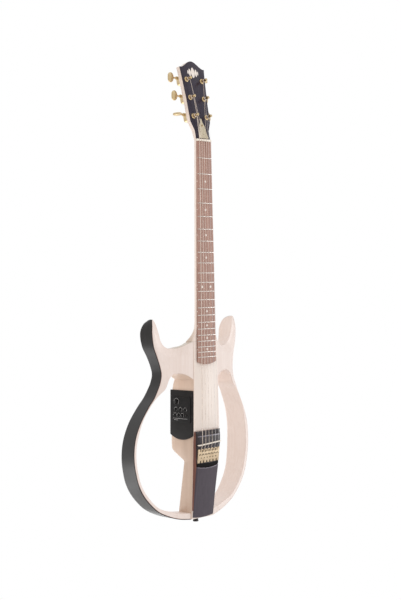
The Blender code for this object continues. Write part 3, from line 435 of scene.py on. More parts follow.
def lathe(name, profile, seg, mats, matrix, smooth=38, shape=None):
    """Turned body about local Z from (radius, height) points in mm. shape(angle, radius, height) may vary the radius."""
    verts, rings = [], []
    for r, h in profile:
        if r <= 1e-9:
            rings.append([len(verts)])
            verts.append((0, 0, h))
        else:
            rings.append(list(range(len(verts), len(verts) + seg)))
            for k in range(seg):
                a = 2 * math.pi * k / seg
                q = shape(a, r, h) if shape else r
                verts.append((q * math.cos(a), q * math.sin(a), h))
    faces = []
    for a, b in zip(rings, rings[1:]):
        for k in range(seg):
            m = (k + 1) % seg
            if len(a) == 1 and len(b) == 1:
                continue
            if len(a) == 1:
                faces.append((a[0], b[k], b[m]))
            elif len(b) == 1:
                faces.append((a[k], a[m], b[0]))
            else:
                faces.append((a[k], a[m], b[m], b[k]))
    if len(rings[0]) > 1:
        faces.append(tuple(rings[0]))
    if len(rings[-1]) > 1:
        faces.append(tuple(rings[-1]))
    return add(name, verts, faces, mats, smooth, matrix)


def frame_z(origin_mm, z_dir, x_hint=Vector((1, 0, 0))):
    z = Vector(z_dir).normalized()
    x = (Vector(x_hint) - z * Vector(x_hint).dot(z)).normalized()
    y = z.cross(x)
    m = Matrix((x, y, z)).transposed().to_4x4()
    m.translation = Vector(origin_mm) * MM
    return m


def rod(name, a, b, r, seg=24, mat=None):
    a, b = Vector(a), Vector(b)
    hint = Vector((0, 0, 1)) if abs((b - a).normalized().x) > 0.9 else Vector((1, 0, 0))
    return lathe(name, [(r, 0), (r, (b - a).length)], seg, mat, frame_z(a, b - a, hint))


def box(name, lo, hi, mat=None, matrix=None):
    (x0, y0, z0), (x1, y1, z1) = lo, hi
    v = [(x, y, z) for x in (x0, x1) for y in (y0, y1) for z in (z0, z1)]
    f = [(0, 1, 3, 2), (4, 6, 7, 5), (0, 4, 5, 1), (2, 3, 7, 6), (0, 2, 6, 4), (1, 5, 7, 3)]
    return add(name, v, f, mat, None, matrix)


def settle(ob):
    """The object's modifiers made part of its mesh."""
    bpy.context.view_layer.update()
    graph = bpy.context.evaluated_depsgraph_get()
    me = bpy.data.meshes.new_from_object(ob.evaluated_get(graph))
    me.name = ob.name
    ob.modifiers.clear()
    ob.data = me
    return ob


def combine(ob, others, how="DIFFERENCE", solver="EXACT"):
    for k, other in enumerate(others):
        m = ob.modifiers.new("bool%d" % k, "BOOLEAN")
        m.operation = how
        m.solver = solver
        m.object = other
        m.material_mode = "TRANSFER"
    settle(ob)
    for other in others:
        bpy.data.objects.remove(other, do_unlink=True)
    return ob


def repaint(ob, mat, chosen):
    """Gives the faces that chosen(normal, centre in mm) picks another material."""
    ob.data.materials.append(mat)
    slot = len(ob.data.materials) - 1
    for face in ob.data.polygons:
        if chosen(face.normal, face.center / MM):
            face.material_index = slot


def bevel(ob, width, segments=2, angle=40, smooth=32):
    m = ob.modifiers.new("edge", "BEVEL")
    m.width = width * MM
    m.segments = segments
    m.limit_method = "ANGLE"
    m.angle_limit = RAD(angle)
    m.harden_normals = False
    m.use_clamp_overlap = True
    settle(ob)
    smooth_by(ob, smooth)
    return ob


def join(name, obs):
    """Several small bodies as one object."""
    bm = bmesh.new()
    mats, keep = [], obs[0]
    for ob in obs:
        for m in ob.data.materials:
            if m not in mats:
                mats.append(m)
    for ob in obs:
        part = ob.data.copy()
        remap = [mats.index(m) for m in ob.data.materials] or [0]
        for p in part.polygons:
            p.material_index = remap[p.material_index]
        part.transform(keep.matrix_world.inverted() @ ob.matrix_world)
        bm.from_mesh(part)
        bpy.data.meshes.remove(part)
    me = bpy.data.meshes.new(name)
    bm.to_mesh(me)
    bm.free()
    for m in mats:
        me.materials.append(m)
    matrix = keep.matrix_world.copy()
    for ob in obs:
        bpy.data.objects.remove(ob, do_unlink=True)
    new = bpy.data.objects.new(name, me)
    bpy.context.scene.collection.objects.link(new)
    new.matrix_world = matrix
    return new


def curve_through(rows, per):
    out = []
    n = len(rows)
    for i in range(n - 1):
        p0, p1, p2, p3 = rows[max(i - 1, 0)], rows[i], rows[i + 1], rows[min(i + 2, n - 1)]
        for k in range(per):
            t = k / per
            out.append(tuple(
                0.5 * (2 * b + (c - a) * t + (2 * a - 5 * b + 4 * c - d) * t * t + (3 * b - a - 3 * c + d) * t ** 3)
                for a, b, c, d in zip(p0, p1, p2, p3)))
    out.append(tuple(rows[-1]))
    return out


def piecewise(z, table):
    if z >= table[0][0]:
        return table[0][1]
    for (z0, v0), (z1, v1) in zip(table, table[1:]):
        if z >= z1:
            return v0 + (v1 - v0) * (z0 - z) / (z0 - z1)
    return table[-1][1]


def softened(f, z, reach, steps=4):
    """f averaged over a short stretch, so its corners turn into bends."""
    return sum(f(z + reach * k / steps) for k in range(-steps, steps + 1)) / (2 * steps + 1)


def rounded(poly, radii, seg=4):
    """Corners of a polygon turned into arcs; every corner gives seg + 1 points."""
    out = []
    n = len(poly)
    for i in range(n):
        p = Vector(poly[i])
        a, b = Vector(poly[i - 1]) - p, Vector(poly[(i + 1) % n]) - p
        r = radii[i] if isinstance(radii, (list, tuple)) else radii
        ra = min(r, a.length * 0.49)
        rb = min(r, b.length * 0.49)
        q0, q1 = p + a.normalized() * ra, p + b.normalized() * rb
        for k in range(seg + 1):
            t = k / seg
            # a conic close to a circle's arc
            w = 0.7071
            d = (1 - t) ** 2 + 2 * w * t * (1 - t) + t * t
            out.append(tuple(((1 - t) ** 2 * q0 + 2 * w * t * (1 - t) * p + t * t * q1) / d))
    return out


def tube(name, pts, radii, mat, seg=12, up=Vector((1, 0, 0))):
    rings, n = [], len(pts)
    for i, p in enumerate(pts):
        d = (pts[min(i + 1, n - 1)] - pts[max(i - 1, 0)]).normalized()
        x = (up - d * up.dot(d)).normalized()
        y = d.cross(x)
        r = radii[i] if isinstance(radii, (list, tuple)) else radii
        rings.append([p + (x * math.cos(2 * math.pi * k / seg) + y * math.sin(2 * math.pi * k / seg)) * r for k in range(seg)])
    return loft(name, rings, mat, 60)


# ================================================================ shared shape rules, as in the CAD
def fret_z(n):
    return -SCALE * (1 - 2 ** (-n / 12.0))


def board_half(z):
    return NUT_HALF + (TWELFTH_HALF - NUT_HALF) * (-z) / (SCALE / 2)


def beam_half(z):
    return piecewise(z, [(-432, 38.0), (-505, 38.0), (-650, 41.2), (-692, 38.5), (-817, 34.7)])


def beam_back(z):
    return piecewise(z, [(-432, 31.5), (-450, 38.0), (-470, 47.5), (-490, 57.0), (-508, 65.0), (-526, 71.8),
                         (-545, 75.6), (-556, BOX_BACK), (-664, BOX_BACK), (-669, 75.4), (-677, 65.0), (-690.5, 42.0),
                         (-694, 41.0), (-810, 63.6), (-819, 64.2)])


def beam_front(z):
    return TOP_Y + max(0.0, -626 - z) * SLOPE_BASE


def under_black(z):
    return piecewise(z, [(-626, 2.0), (-702, 5.3), (-817, 19.9)])


def black_front(z):
    return piecewise(z, [(-625.7, 1.6), (-636.6, -2.5), (-654, -2.3), (-660, -1.6), (-665, -1.4), (-694.5, 1.6),
                         (-702, 1.5), (-757.6, 10.0), (-817, 18.9)])


def black_half(z):
    return piecewise(z, [(-625.7, 37.8), (-636.6, 36.2), (-656, 36.0), (-665, 34.6), (-700, 33.2), (-757, 32.2), (-817, 31.2)])


def head_half(z):
    return piecewise(-z, [(-5, 21.3), (-14, 20.8), (-24, 21.2), (-33, 25.6), (-43, 30.0), (-94, 31.7), (-150, 36.2), (-162, 37.7)])


def head_top(x):
    u = abs(x) / HEAD_HALF
    return HEAD_SHOULDER + (HEAD_TOP - HEAD_SHOULDER) * (0.5 + 0.5 * math.cos(math.pi * min(1.0, u * 1.08))) ** 0.9


def on_head(x, z, lift=0.0):
    return Vector((x, HEAD_Y0 + HEAD_TILT * z, z)) + FRONT_N * lift


def on_wall(y, z, lift=0.0):
    return Vector((-(38.0 + (-505.0 - z) * WALL_SLOPE), y, z)) + WALL_N * lift


def put(ob, body, *nodes, slot=None):
    """Ride a piece on a body, standing for the CAD nodes it shows."""
    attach(ob, body)
    if nodes:
        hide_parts(*nodes)
    return ob


# ================================================================ neck
NECK_TABLE = [   # z, half width, thickness, fullness, lean to the head's back
    (HEEL_Z, 38.0, 26.3, 9.0, 0.0), (-424, 34.4, 22.6, 4.8, 0.0), (-414, 30.2, 19.4, 3.1, 0.0),
    (-403, board_half(-403), 17.8, 2.25, 0.0), (-386, board_half(-386), 16.9, 2.0, 0.0),
    (-324, board_half(-324), 16.3, 2.0, 0.0), (-162, board_half(-162), 15.3, 2.0, 0.0), (0, NUT_HALF, 14.3, 2.0, 0.0),
    (5.0, 21.3, 14.6, 2.2, 0.15), (14.0, 20.8, 14.6, 2.6, 0.55), (24.0, 21.2, 13.8, 3.5, 0.9), (33.0, 25.6, 11.3, 6.0, 1.0),
    (43.0, 30.0, HEAD_T, 10.0, 1.0), (94.0, 31.7, HEAD_T, 10.0, 1.0), (150.0, 36.2, HEAD_T, 10.0, 1.0)]


def core_face(z):
    return TOP_Y if z < 1 else max(TOP_Y, HEAD_Y0 + HEAD_TILT * z + (VENEER_T + GAP) / HEAD_COS)


def neck_ring(z, half, thick, power, lean, top=False):
    front, back = [], []
    bx = BACK_N.lerp(Vector((0, 1, 0)), 1 - lean).normalized()
    n = 28
    for j in range(n + 1):
        f = -math.cos(math.pi * j / n)
        f = math.copysign(abs(f) ** 0.86, f) if abs(f) > 1e-9 else 0.0
        x = f * half
        zz = head_top(x) if top else z
        p = Vector((x, core_face(zz), zz))
        power = max(1.7, power)
        d = 2.2 + (thick - 2.2) * max(0.0, 1 - abs(f) ** power) ** (1.0 / power)
        front.append(p)
        back.append(p + bx * d)
    return front + back[::-1]


def eased_rows(table, steps):
    """Rows between those of a table, on curves that never overshoot it. The first column is the run."""
    def slope(i, c):
        def secant(j):
            return (table[j + 1][c] - table[j][c]) / (table[j + 1][0] - table[j][0])
        if i == 0:
            return secant(0)
        if i == len(table) - 1:
            return secant(i - 1)
        a, b = secant(i - 1), secant(i)
        return 0.0 if a * b <= 0 else 2 * a * b / (a + b)

    out = []
    for i in range(len(table) - 1):
        h = table[i + 1][0] - table[i][0]
        for k in range(steps):
            t = k / steps
            row = [table[i][0] + h * t]
            for c in range(1, len(table[0])):
                m0, m1 = slope(i, c) * h, slope(i + 1, c) * h
                row.append((2 * t ** 3 - 3 * t * t + 1) * table[i][c] + (t ** 3 - 2 * t * t + t) * m0
                           + (3 * t * t - 2 * t ** 3) * table[i + 1][c] + (t ** 3 - t * t) * m1)
            out.append(row)
    out.append(list(table[-1]))
    return out


neck_rings = []
for row in eased_rows(NECK_TABLE, 4):
    half = row[1]
    if -403 < row[0] <= 0:
        half = board_half(row[0])
    if row[0] > 24:
        half = head_half(row[0])
    neck_rings.append(neck_ring(row[0], half, row[2], row[3], min(1.0, max(0.0, row[4]))))
neck_rings.append(neck_ring(156.0, 36.95, HEAD_T, 10.0, 1.0))
neck_rings.append(neck_ring(HEAD_SHOULDER, HEAD_HALF, HEAD_T, 10.0, 1.0, True))
neck = loft("neck_and_head", neck_rings, MAPLE_NECK, 40, rows=True)
combine(neck, [box("tenon", (-20, TOP_Y + 0.6, -466), (20, 23, -431.0), MAPLE_NECK)], "UNION")
cutters = [box("rod_channel", (-3.2, 0, -440), (3.2, 14.0, 8.0), MAPLE_NECK), box("nut_pocket", (-6.4, 0, 5.3), (6.4, 15.4, 27.0), MAPLE_NECK),
           rod("screw_seat", on_head(0, 34, -9.5), on_head(0, 34, 3), 1.5, 16, MAPLE_NECK)]
for side in (-1, 1):
    for px, pz in POSTS:
        c = on_head(side * px, pz)
        cutters.append(rod("post_hole", c + FRONT_N * 4, c + BACK_N * 20, 5.0, 24, MAPLE_NECK))
combine(neck, cutters)
smooth_by(neck, 34)
put(neck, "guitar", "neck")

# ================================================================ head face, with a plain inlay where a mark would be
half_line = [(head_half(z), z) for z in (5.4, 8, 11, 14, 17, 20, 22.5, 24, 26, 29, 33, 36, 39.5, 43, 55, 70, 94, 110, 130, 150, 156)]
half_line += [(HEAD_HALF * k / 40.0, head_top(HEAD_HALF * k / 40.0)) for k in range(40, 0, -1)]
loop = half_line + [(0, head_top(0))] + [(-x, z) for x, z in reversed(half_line)]
veneer = loft("head_face_veneer", [[on_head(x, z) for x, z in loop], [on_head(x, z) + BACK_N * VENEER_T for x, z in loop]],
              BLACK_HEAD, 32)
bevel(veneer, 0.35, 2, 60)
cutters = [box("veneer_pocket", (-6.4, -5, 0), (6.4, 20, 27), BLACK_HEAD),
           rod("screw_seat2", on_head(0, 34, -4), on_head(0, 34, 3), 1.6, 16, BLACK_HEAD)]
for side in (-1, 1):
    for px, pz in POSTS:
        c = on_head(side * px, pz)
        cutters.append(rod("post_hole", c + FRONT_N * 4, c + BACK_N * 8, 5.0, 24, BLACK_HEAD))
combine(veneer, cutters)
smooth_by(veneer, 30)
put(veneer, "guitar", "headstock_veneer")


def head_plaque(name, outline, lift, thick, mat):
    return loft(name, [[on_head(x, z, lift - thick) for x, z in outline], [on_head(x, z, lift) for x, z in outline]], mat, 30)


def diamond(cx, cz, w, h, n=10, power=1.35):
    """A lozenge with slightly hollow sides."""
    pts = []
    for k in range(4 * n):
        a = 2 * math.pi * k / (4 * n)
        c, s = math.cos(a), math.sin(a)
        pts.append((cx + math.copysign(abs(c) ** power, c) * w, cz + math.copysign(abs(s) ** power, s) * h))
    return pts


inlay = [head_plaque("inlay_part", diamond(0, 151.5, 5.8, 11.5, 8, 1.2), 0.06, 0.5, PEARL)]
for dx in (-9.6, 9.6):
    inlay.append(head_plaque("inlay_part", diamond(dx, 151.5, 3.4, 8.4, 6, 1.2), 0.06, 0.5, PEARL))
for dx in (-15.2, 15.2):
    inlay.append(head_plaque("inlay_part", diamond(dx, 151.5, 1.7, 4.6, 5, 1.2), 0.06, 0.5, PEARL))
put(join("head_inlay", inlay), "guitar", slot="bone")

# ================================================================ fingerboard, fret wires and dots
FF = [-1, -0.985, -0.95] + [-0.9 + 0.1 * k for k in range(19)] + [0.95, 0.985, 1]


def crown(x):
    return x * x / (2 * CROWN_R)


def board_ring(z, end=0.0):
    half = board_half(z) - 0.1
    front, back = [], []
    for f in FF:
        x = f * half
        e = half - abs(x)
        off = 0.6 - math.sqrt(max(0.0, 0.36 - (0.6 - e) ** 2)) if e < 0.6 else 0.0
        zz = z - end * (1 - f * f)
        front.append(Vector((x, crown(x) + off, zz)))
        back.append(Vector((x, BOARD_T, zz)))
    return front + back[::-1]


zs = [-GAP] + [-20.0 * k for k in range(1, 24)]
rings = [board_ring(z) for z in zs if z > FB_END + 14]
rings += [board_ring(FB_END + 6.0 + 6, 1.0), board_ring(FB_END + 6.0 + 2.0, 4.5), board_ring(FB_END + 6.0, 6.0)]
board = loft("fingerboard_wood", rings, ROSEWOOD, 32, rows=True)
bevel(board, 0.25, 2, 60)
put(board, "guitar", "fingerboard")

wires = []
for n in range(1, FRETS + 1):
    z = fret_z(n)
    half = board_half(z) - 0.25
    prof = [(-1.15, 0.25), (-1.1, -0.12), (-0.85, -0.55), (-0.45, -0.88), (0, -FRET_H), (0.45, -0.88), (0.85, -0.55), (1.1, -0.12), (1.15, 0.25)]
    rings = []
    for k in range(13):
        x = -half + 2 * half * k / 12.0
        e = min(1.0, min(k, 12 - k) / 0.35) if k in (0, 12) else 1.0
        inset = 0.9 if k in (0, 12) else 0.0
        rings.append([Vector((x + (inset * (1 if k == 0 else -1)) * (p[1] < 0) * (-p[1]), crown(x) + p[1], z + p[0])) for p in prof])
    wires.append(loft("fret", rings, FRET_METAL, 50))
put(join("fret_wires", wires), "guitar", slot="steel")

dots = []
for n in (3, 5, 7, 9, 12, 15, 17, 19, 21):
    z = (fret_z(n) + fret_z(n - 1)) / 2
    for x in ((-13.0, 13.0) if n == 12 else (0.0,)):
        r = 2.7
        dots.append(lathe("dot", [(0, -0.8), (r, -0.8), (r, 0.0), (r - 0.25, 0.09), (0, 0.12)], 28, PEARL,
                          frame_z((x, crown(x), z), (x / CROWN_R, -1, 0))))
put(join("position_dots", dots), "guitar", slot="bone")
dots = []
for n in (3, 5, 7, 9, 12, 15, 17, 19, 21):
    z = (fret_z(n) + fret_z(n - 1)) / 2
    for dz in ((-4.0, 4.0) if n == 12 else (0.0,)):
        x = -(board_half(z + dz) - 0.1)
        dots.append(lathe("side_dot", [(0, -1.0), (0.95, -1.0), (0.95, 0.03), (0.8, 0.07), (0, 0.08)], 20, PEARL,
                          frame_z((x, 2.6, z + dz), (-1, 0, 0), Vector((0, 0, 1)))))
put(join("side_dots", dots), "guitar", slot="bone")

# ================================================================ nut
prof = [(0.0, TOP_Y - GAP), (0.0, -1.1), (0.35, -1.5), (1.3, -1.62), (2.9, -1.45), (4.2, -0.9), (4.75, -0.2), (4.9, 0.8), (4.9, TOP_Y - GAP)]
rings = []
for k in range(25):
    x = -21.0 + 42.0 * k / 24.0
    e = 1.0 if 0 < k < 24 else 0.0
    rings.append([Vector((x, min(y + (0.0 if e else 0.35) * (y < 0) + crown(x) * (y < 2), TOP_Y - GAP), z)) for z, y in prof])
nut = loft("bone_nut", rings, BONE, 40)
slots = []
for k in range(6):
    xn = NUT_SPREAD * (k / 5.0 - 0.5)
    r = STRING_R[k] + 0.06
    y = -1.05 - GAP - STRING_R[k]
    slots.append(rod("slot", (xn, y, -1), (xn, y, 6), r, 12, BONE))
combine(nut, slots)
smooth_by(nut, 34)
put(nut, "guitar", "nut")

# ================================================================ truss rod cover and screw
bell = [(14.4, 6.4), (14.2, 9), (12.0, 16), (10.2, 24), (8.8, 31), (6.4, 37), (3.4, 42), (2.4, 45.5), (1.6, 48.3), (0.6, 49.6)]
bell_side = curve_through(bell, 4)
bell_loop = bell_side + [(-x, z) for x, z in reversed(bell_side)]
inner = []
cover = loft("rod_cover_plate", [[on_head(x, z, 0.3) for x, z in bell_loop], [on_head(x, z, 1.7) for x, z in bell_loop],
                                 [on_head(x * 0.93, 6.4 + (z - 6.4) * 0.975 + 0.3, 2.2) for x, z in bell_loop],
                                 [on_head(x * 0.86, 6.4 + (z - 6.4) * 0.955 + 0.8, 2.3) for x, z in bell_loop]], COVER_GOLD, 38)
combine(cover, [rod("screw_hole", on_head(0, 34, -2), on_head(0, 34, 4), 1.6, 20, COVER_GOLD)])
smooth_by(cover, 38)
put(cover, "guitar", "truss_rod_cover")
screw = lathe("rod_cover_screw", [(0, -8.5), (0.5, -8.4), (1.2, -7.0), (1.2, 2.35), (2.6, 2.6), (2.6, 2.9), (2.2, 3.5), (1.3, 3.8), (0, 3.9)],
              28, GOLD, frame_z(on_head(0, 34), FRONT_N))
# painted shadow in the screw's cross slot
combine(screw, [box("blade_a", (-2.0, -0.32, 3.1), (2.0, 0.32, 5), SHADOW, frame_z(on_head(0, 34), FRONT_N)),
                box("blade_b", (-0.32, -2.0, 3.1), (0.32, 2.0, 5), SHADOW, frame_z(on_head(0, 34), FRONT_N))])
smooth_by(screw, 34)
put(screw, "guitar", "truss_cover_screw")

# ================================================================ centre body
stations = [-432.3, -436, -441, -446, -452, -460, -470, -480, -490, -500, -508, -516, -526, -536, -545, -551, -556, -575, -600,
            -626, -638, -646, -652, -658, -662, -664, -666, -668, -670, -673, -677, -682, -686, -688.5, -690.5, -692, -694, -697,
            -703, -715, -740, -760, -785, -803, -812, -816.5, BODY_END]
rings = []
for z in stations:
    reach = 2.5 if -700 < z < -660 else 6.0
    if z > -440:
        reach = 0.3
    b = softened(beam_half, z, 5.0)
    f, k = beam_front(z), softened(beam_back, z, reach)
    trim = max(0.0, 1.2 - (z - BODY_END)) * 0.6 if z < BODY_END + 1.6 else 0.0
    rings.append([(x, y, z) for x, y in rounded([(-b + trim, f), (b - trim, f), (b - trim, k - trim), (-b + trim, k - trim)],
                                                [0.5, 0.5, 6.5, 6.5], 5)])
body = loft("center_body_shell", rings, MAPLE_WALL_SHADE, 30)
combine(body, [
    box("tenon_pocket", (-20.4, 0, -466.4), (20.4, 23.4, -430), MAPLE_WALL_SHADE),
    box("rod_tail", (-3.4, 0, -440), (3.4, 14.2, -430), MAPLE_WALL_SHADE),
    box("board_seat", (-35.15, 0, -629.4), (35.15, 8.8, -470.0), MAPLE_WALL_SHADE),
    box("chamber", (-32.5, 5, -656), (32.5, 90, -556), MAPLE_WALL_SHADE),
    box("cover_seat", (-35.8, BOX_BACK - 3.5, -662.3), (35.8, 90, -549.7), MAPLE_WALL_SHADE),
    box("preamp_window", (-50, 15, -605), (-30, 67, -555), MAPLE_WALL_SHADE),
    rod("jack_bore", (0, JACK_Y, -830), (0, JACK_Y, -778), 5.4, 28, MAPLE_WALL_SHADE),
    rod("lead_way", (0, JACK_Y, -781), (0, 24.5, -650), 2.6, 12, MAPLE_WALL_SHADE)])
# The front and top faces take plain maple; the walls keep the maple with painted shade
repaint(body, MAPLE, lambda n, c: n.y < -0.6 or n.z > 0.5)
smooth_by(body, 30)
put(body, "guitar", "center_body")

# ================================================================ soundboard strip
top = box("spruce_soundboard", (-35.0, TOP_Y, -629.1), (35.0, TOP_Y + 3.2, -470.3), SPRUCE)
bevel(top, 0.2, 2)
put(top, "guitar", "soundboard")

# ================================================================ wings and their black side bands
ROWS = [
    (35.2, -818.5, 23.0, 0, 0, 62.0, (35.2, -804.5, 23.0), 1.0),
    (61.0, -815.5, 31.0, 0, 0, 69.5, (58.0, -802.5, 31.0), 1.0),
    (89.5, -806.5, 35.0, -0.5, 0.5, 77.5, (85.0, -795.5, 35.0), 1.0),
    (120.0, -791.0, 38.5, -2.0, 1.5, 85.0, None, 1.0),
    (149.6, -763.0, 41.5, -4.5, 2.0, 90.0, None, 1.0),
    (167.4, -734.5, 43.5, -6.5, 1.5, 92.5, None, 1.0),
    (176.2, -706.0, 44.5, -8.5, 1.0, 94.0, None, 1.0),
    (180.55, -678.0, 45.0, -10.0, 0, 94.4, None, 1.0),
    (180.15, -650.0, 44.5, -10.5, -0.5, 92.95, None, 1.0),
    (174.6, -622.0, 42.8, -10.0, -1.5, 89.5, None, 1.0),
    (162.4, -594.0, 40.0, -9.0, -2.5, 85.5, (155.2, -589.0, 38.0), 1.0),
    (145.1, -566.0, 36.0, -8.0, -3.0, 79.0, (136.5, -559.0, 32.0), 1.0),
    (132.0, -548.0, 32.5, -6.5, -3.0, 73.0, (121.5, -542.5, 26.5), 1.0),
    (123.0, -531.0, 30.5, -5.5, -2.0, 67.5, (107.0, -531.0, 22.5), 1.0),
    (116.5, -517.0, 29.8, -4.5, -1.0, 64.0, (101.0, -519.5, 21.0), 1.0),
    (113.3, -500.0, 29.0, -4.0, 0, 61.5, (96.5, -510.5, 20.3), 1.0),
    (115.8, -482.0, 30.5, -3.0, 0, 63.0, (92.0, -505.0, 20.0), 1.0),
    (121.5, -462.0, 33.0, -2.2, 0, 66.5, (88.0, -502.0, 19.7), 1.0),
    (129.0, -440.0, 35.0, -1.2, 0, 71.5, (84.5, -500.6, 19.4), 1.0),
    (132.4, -414.0, 35.6, -0.8, 0, 73.0, (82.0, -500.0, 19.1), 1.0),
    (130.8, -395.0, 37.0, -1.8, -1.5, 69.0, (80.2, -499.7, 18.9), 1.0),
    (126.4, -382.0, 39.5, -3.6, -5.5, 63.5, (79.0, -499.6, 18.7), 1.0),
    (120.6, -391.0, 36.5, -4.0, -4.5, 66.5, (77.6, -499.5, 18.4), 1.05),
    (114.2, -411.0, 33.8, -3.5, 0, 68.0, (75.0, -499.3, 17.8), 1.2),
    (109.0, -427.5, 33.5, -3.0, 0, 63.5, (72.0, -499.2, 17.0), 1.4),
    (98.5, -440.2, 32.3, -2.0, 0, 56.5, (68.0, -499.5, 15.8), 1.65),
    (82.0, -445.8, 29.0, -1.0, 0, 48.5, (62.5, -500.5, 14.0), 1.9),
    (64.5, -442.8, 20.5, 0, -0.6, 41.5, (55.0, -503.3, 11.3), 2.0),
    (49.5, -436.2, 11.5, 0, -4.4, 36.0, (47.0, -507.5, 8.3), 1.6),
    (38.35, -431.7, 5.8, 0, -3.0, 31.5, (38.45, -513.5, 5.8), 1.0),
]
TIP = 21
PER = 8


def wing_rows():
    done = []
    for i, row in enumerate(ROWS):
        w, z, y, dw, dz, yb, inner, ease = row
        a, b = ROWS[max(i - 1, 0)], ROWS[min(i + 1, len(ROWS) - 1)]
        t = Vector((b[0] - a[0], b[1] - a[1])).normalized()
        nx, nz = -t.y, t.x
        if inner is None:
            inner = (w + nx * RIM_FACE, z + nz * RIM_FACE, y)
        if i == 0:
            nx, nz = 0.0, 1.0
        done.append((w, z, y, w + dw, z + dz, yb, inner[0], inner[1], inner[2], ease, nx, nz))
    return done


def arc_off(e, r):
    """How far a rounded edge of radius r falls back, at a distance e in from the edge."""
    return r - math.sqrt(max(0.0, r * r - (r - e) ** 2)) if e < r else 0.0


HOLLOW_REACH = {21: 6.0, 22: 9.0, 23: 12.0, 24: 17.0, 25: 20.5, 26: 19.0, 27: 17.0, 28: 10.0, 29: 6.0}


def wing_base(w, z):
    """Depth of the plain front surface of horn and plate."""
    return 5.8 + 0.31 * (w - 38.4) + 6.4 * max(0.0, (z + 430.0) / 48.0) ** 2


def hollow_at(w, z, edge):
    """How far the hollow along the cutaway's edge pushes the surface back, at a point."""
    best, drop = 1e9, 0.0
    for (w0, z0, d0, s0), (w1, z1, d1, s1) in zip(edge, edge[1:]):
        dw, dz = w1 - w0, z1 - z0
        t = max(0.0, min(1.0, ((w - w0) * dw + (z - z0) * dz) / (dw * dw + dz * dz)))
        far = math.hypot(w - w0 - dw * t, z - z0 - dz * t)
        if far < best:
            q = far / (s0 + (s1 - s0) * t)
            best, drop = far, (d0 + (d1 - d0) * t) * (1 - min(1.0, q) ** 1.3)
    return drop


def tip_arch(i):
    """The horn's end arches up between its front and its back edge."""
    return 2.4 * max(0.0, 1 - abs(i - TIP * PER) / (1.3 * PER)) ** 1.5


def bow_at(i):
    """Sideways bow of the section lines, so that inside the horn they follow the middle of the horn."""
    far = (i / PER - TIP) / 5.0
    return 11.5 * max(0.0, 1 - far * far) ** 2


def inner_back(i, yb):
    """Depth of the back surface at the window: the band's own depth low down, one calm level round the upper corner."""
    at = i / PER
    if at <= 12:
        return yb
    if at <= 15:
        return yb + (61.5 - yb) * (at - 12) / 17.0
    return 61.5 + 2.4 * math.sin(math.pi * (at - 15.0) / 14.0)


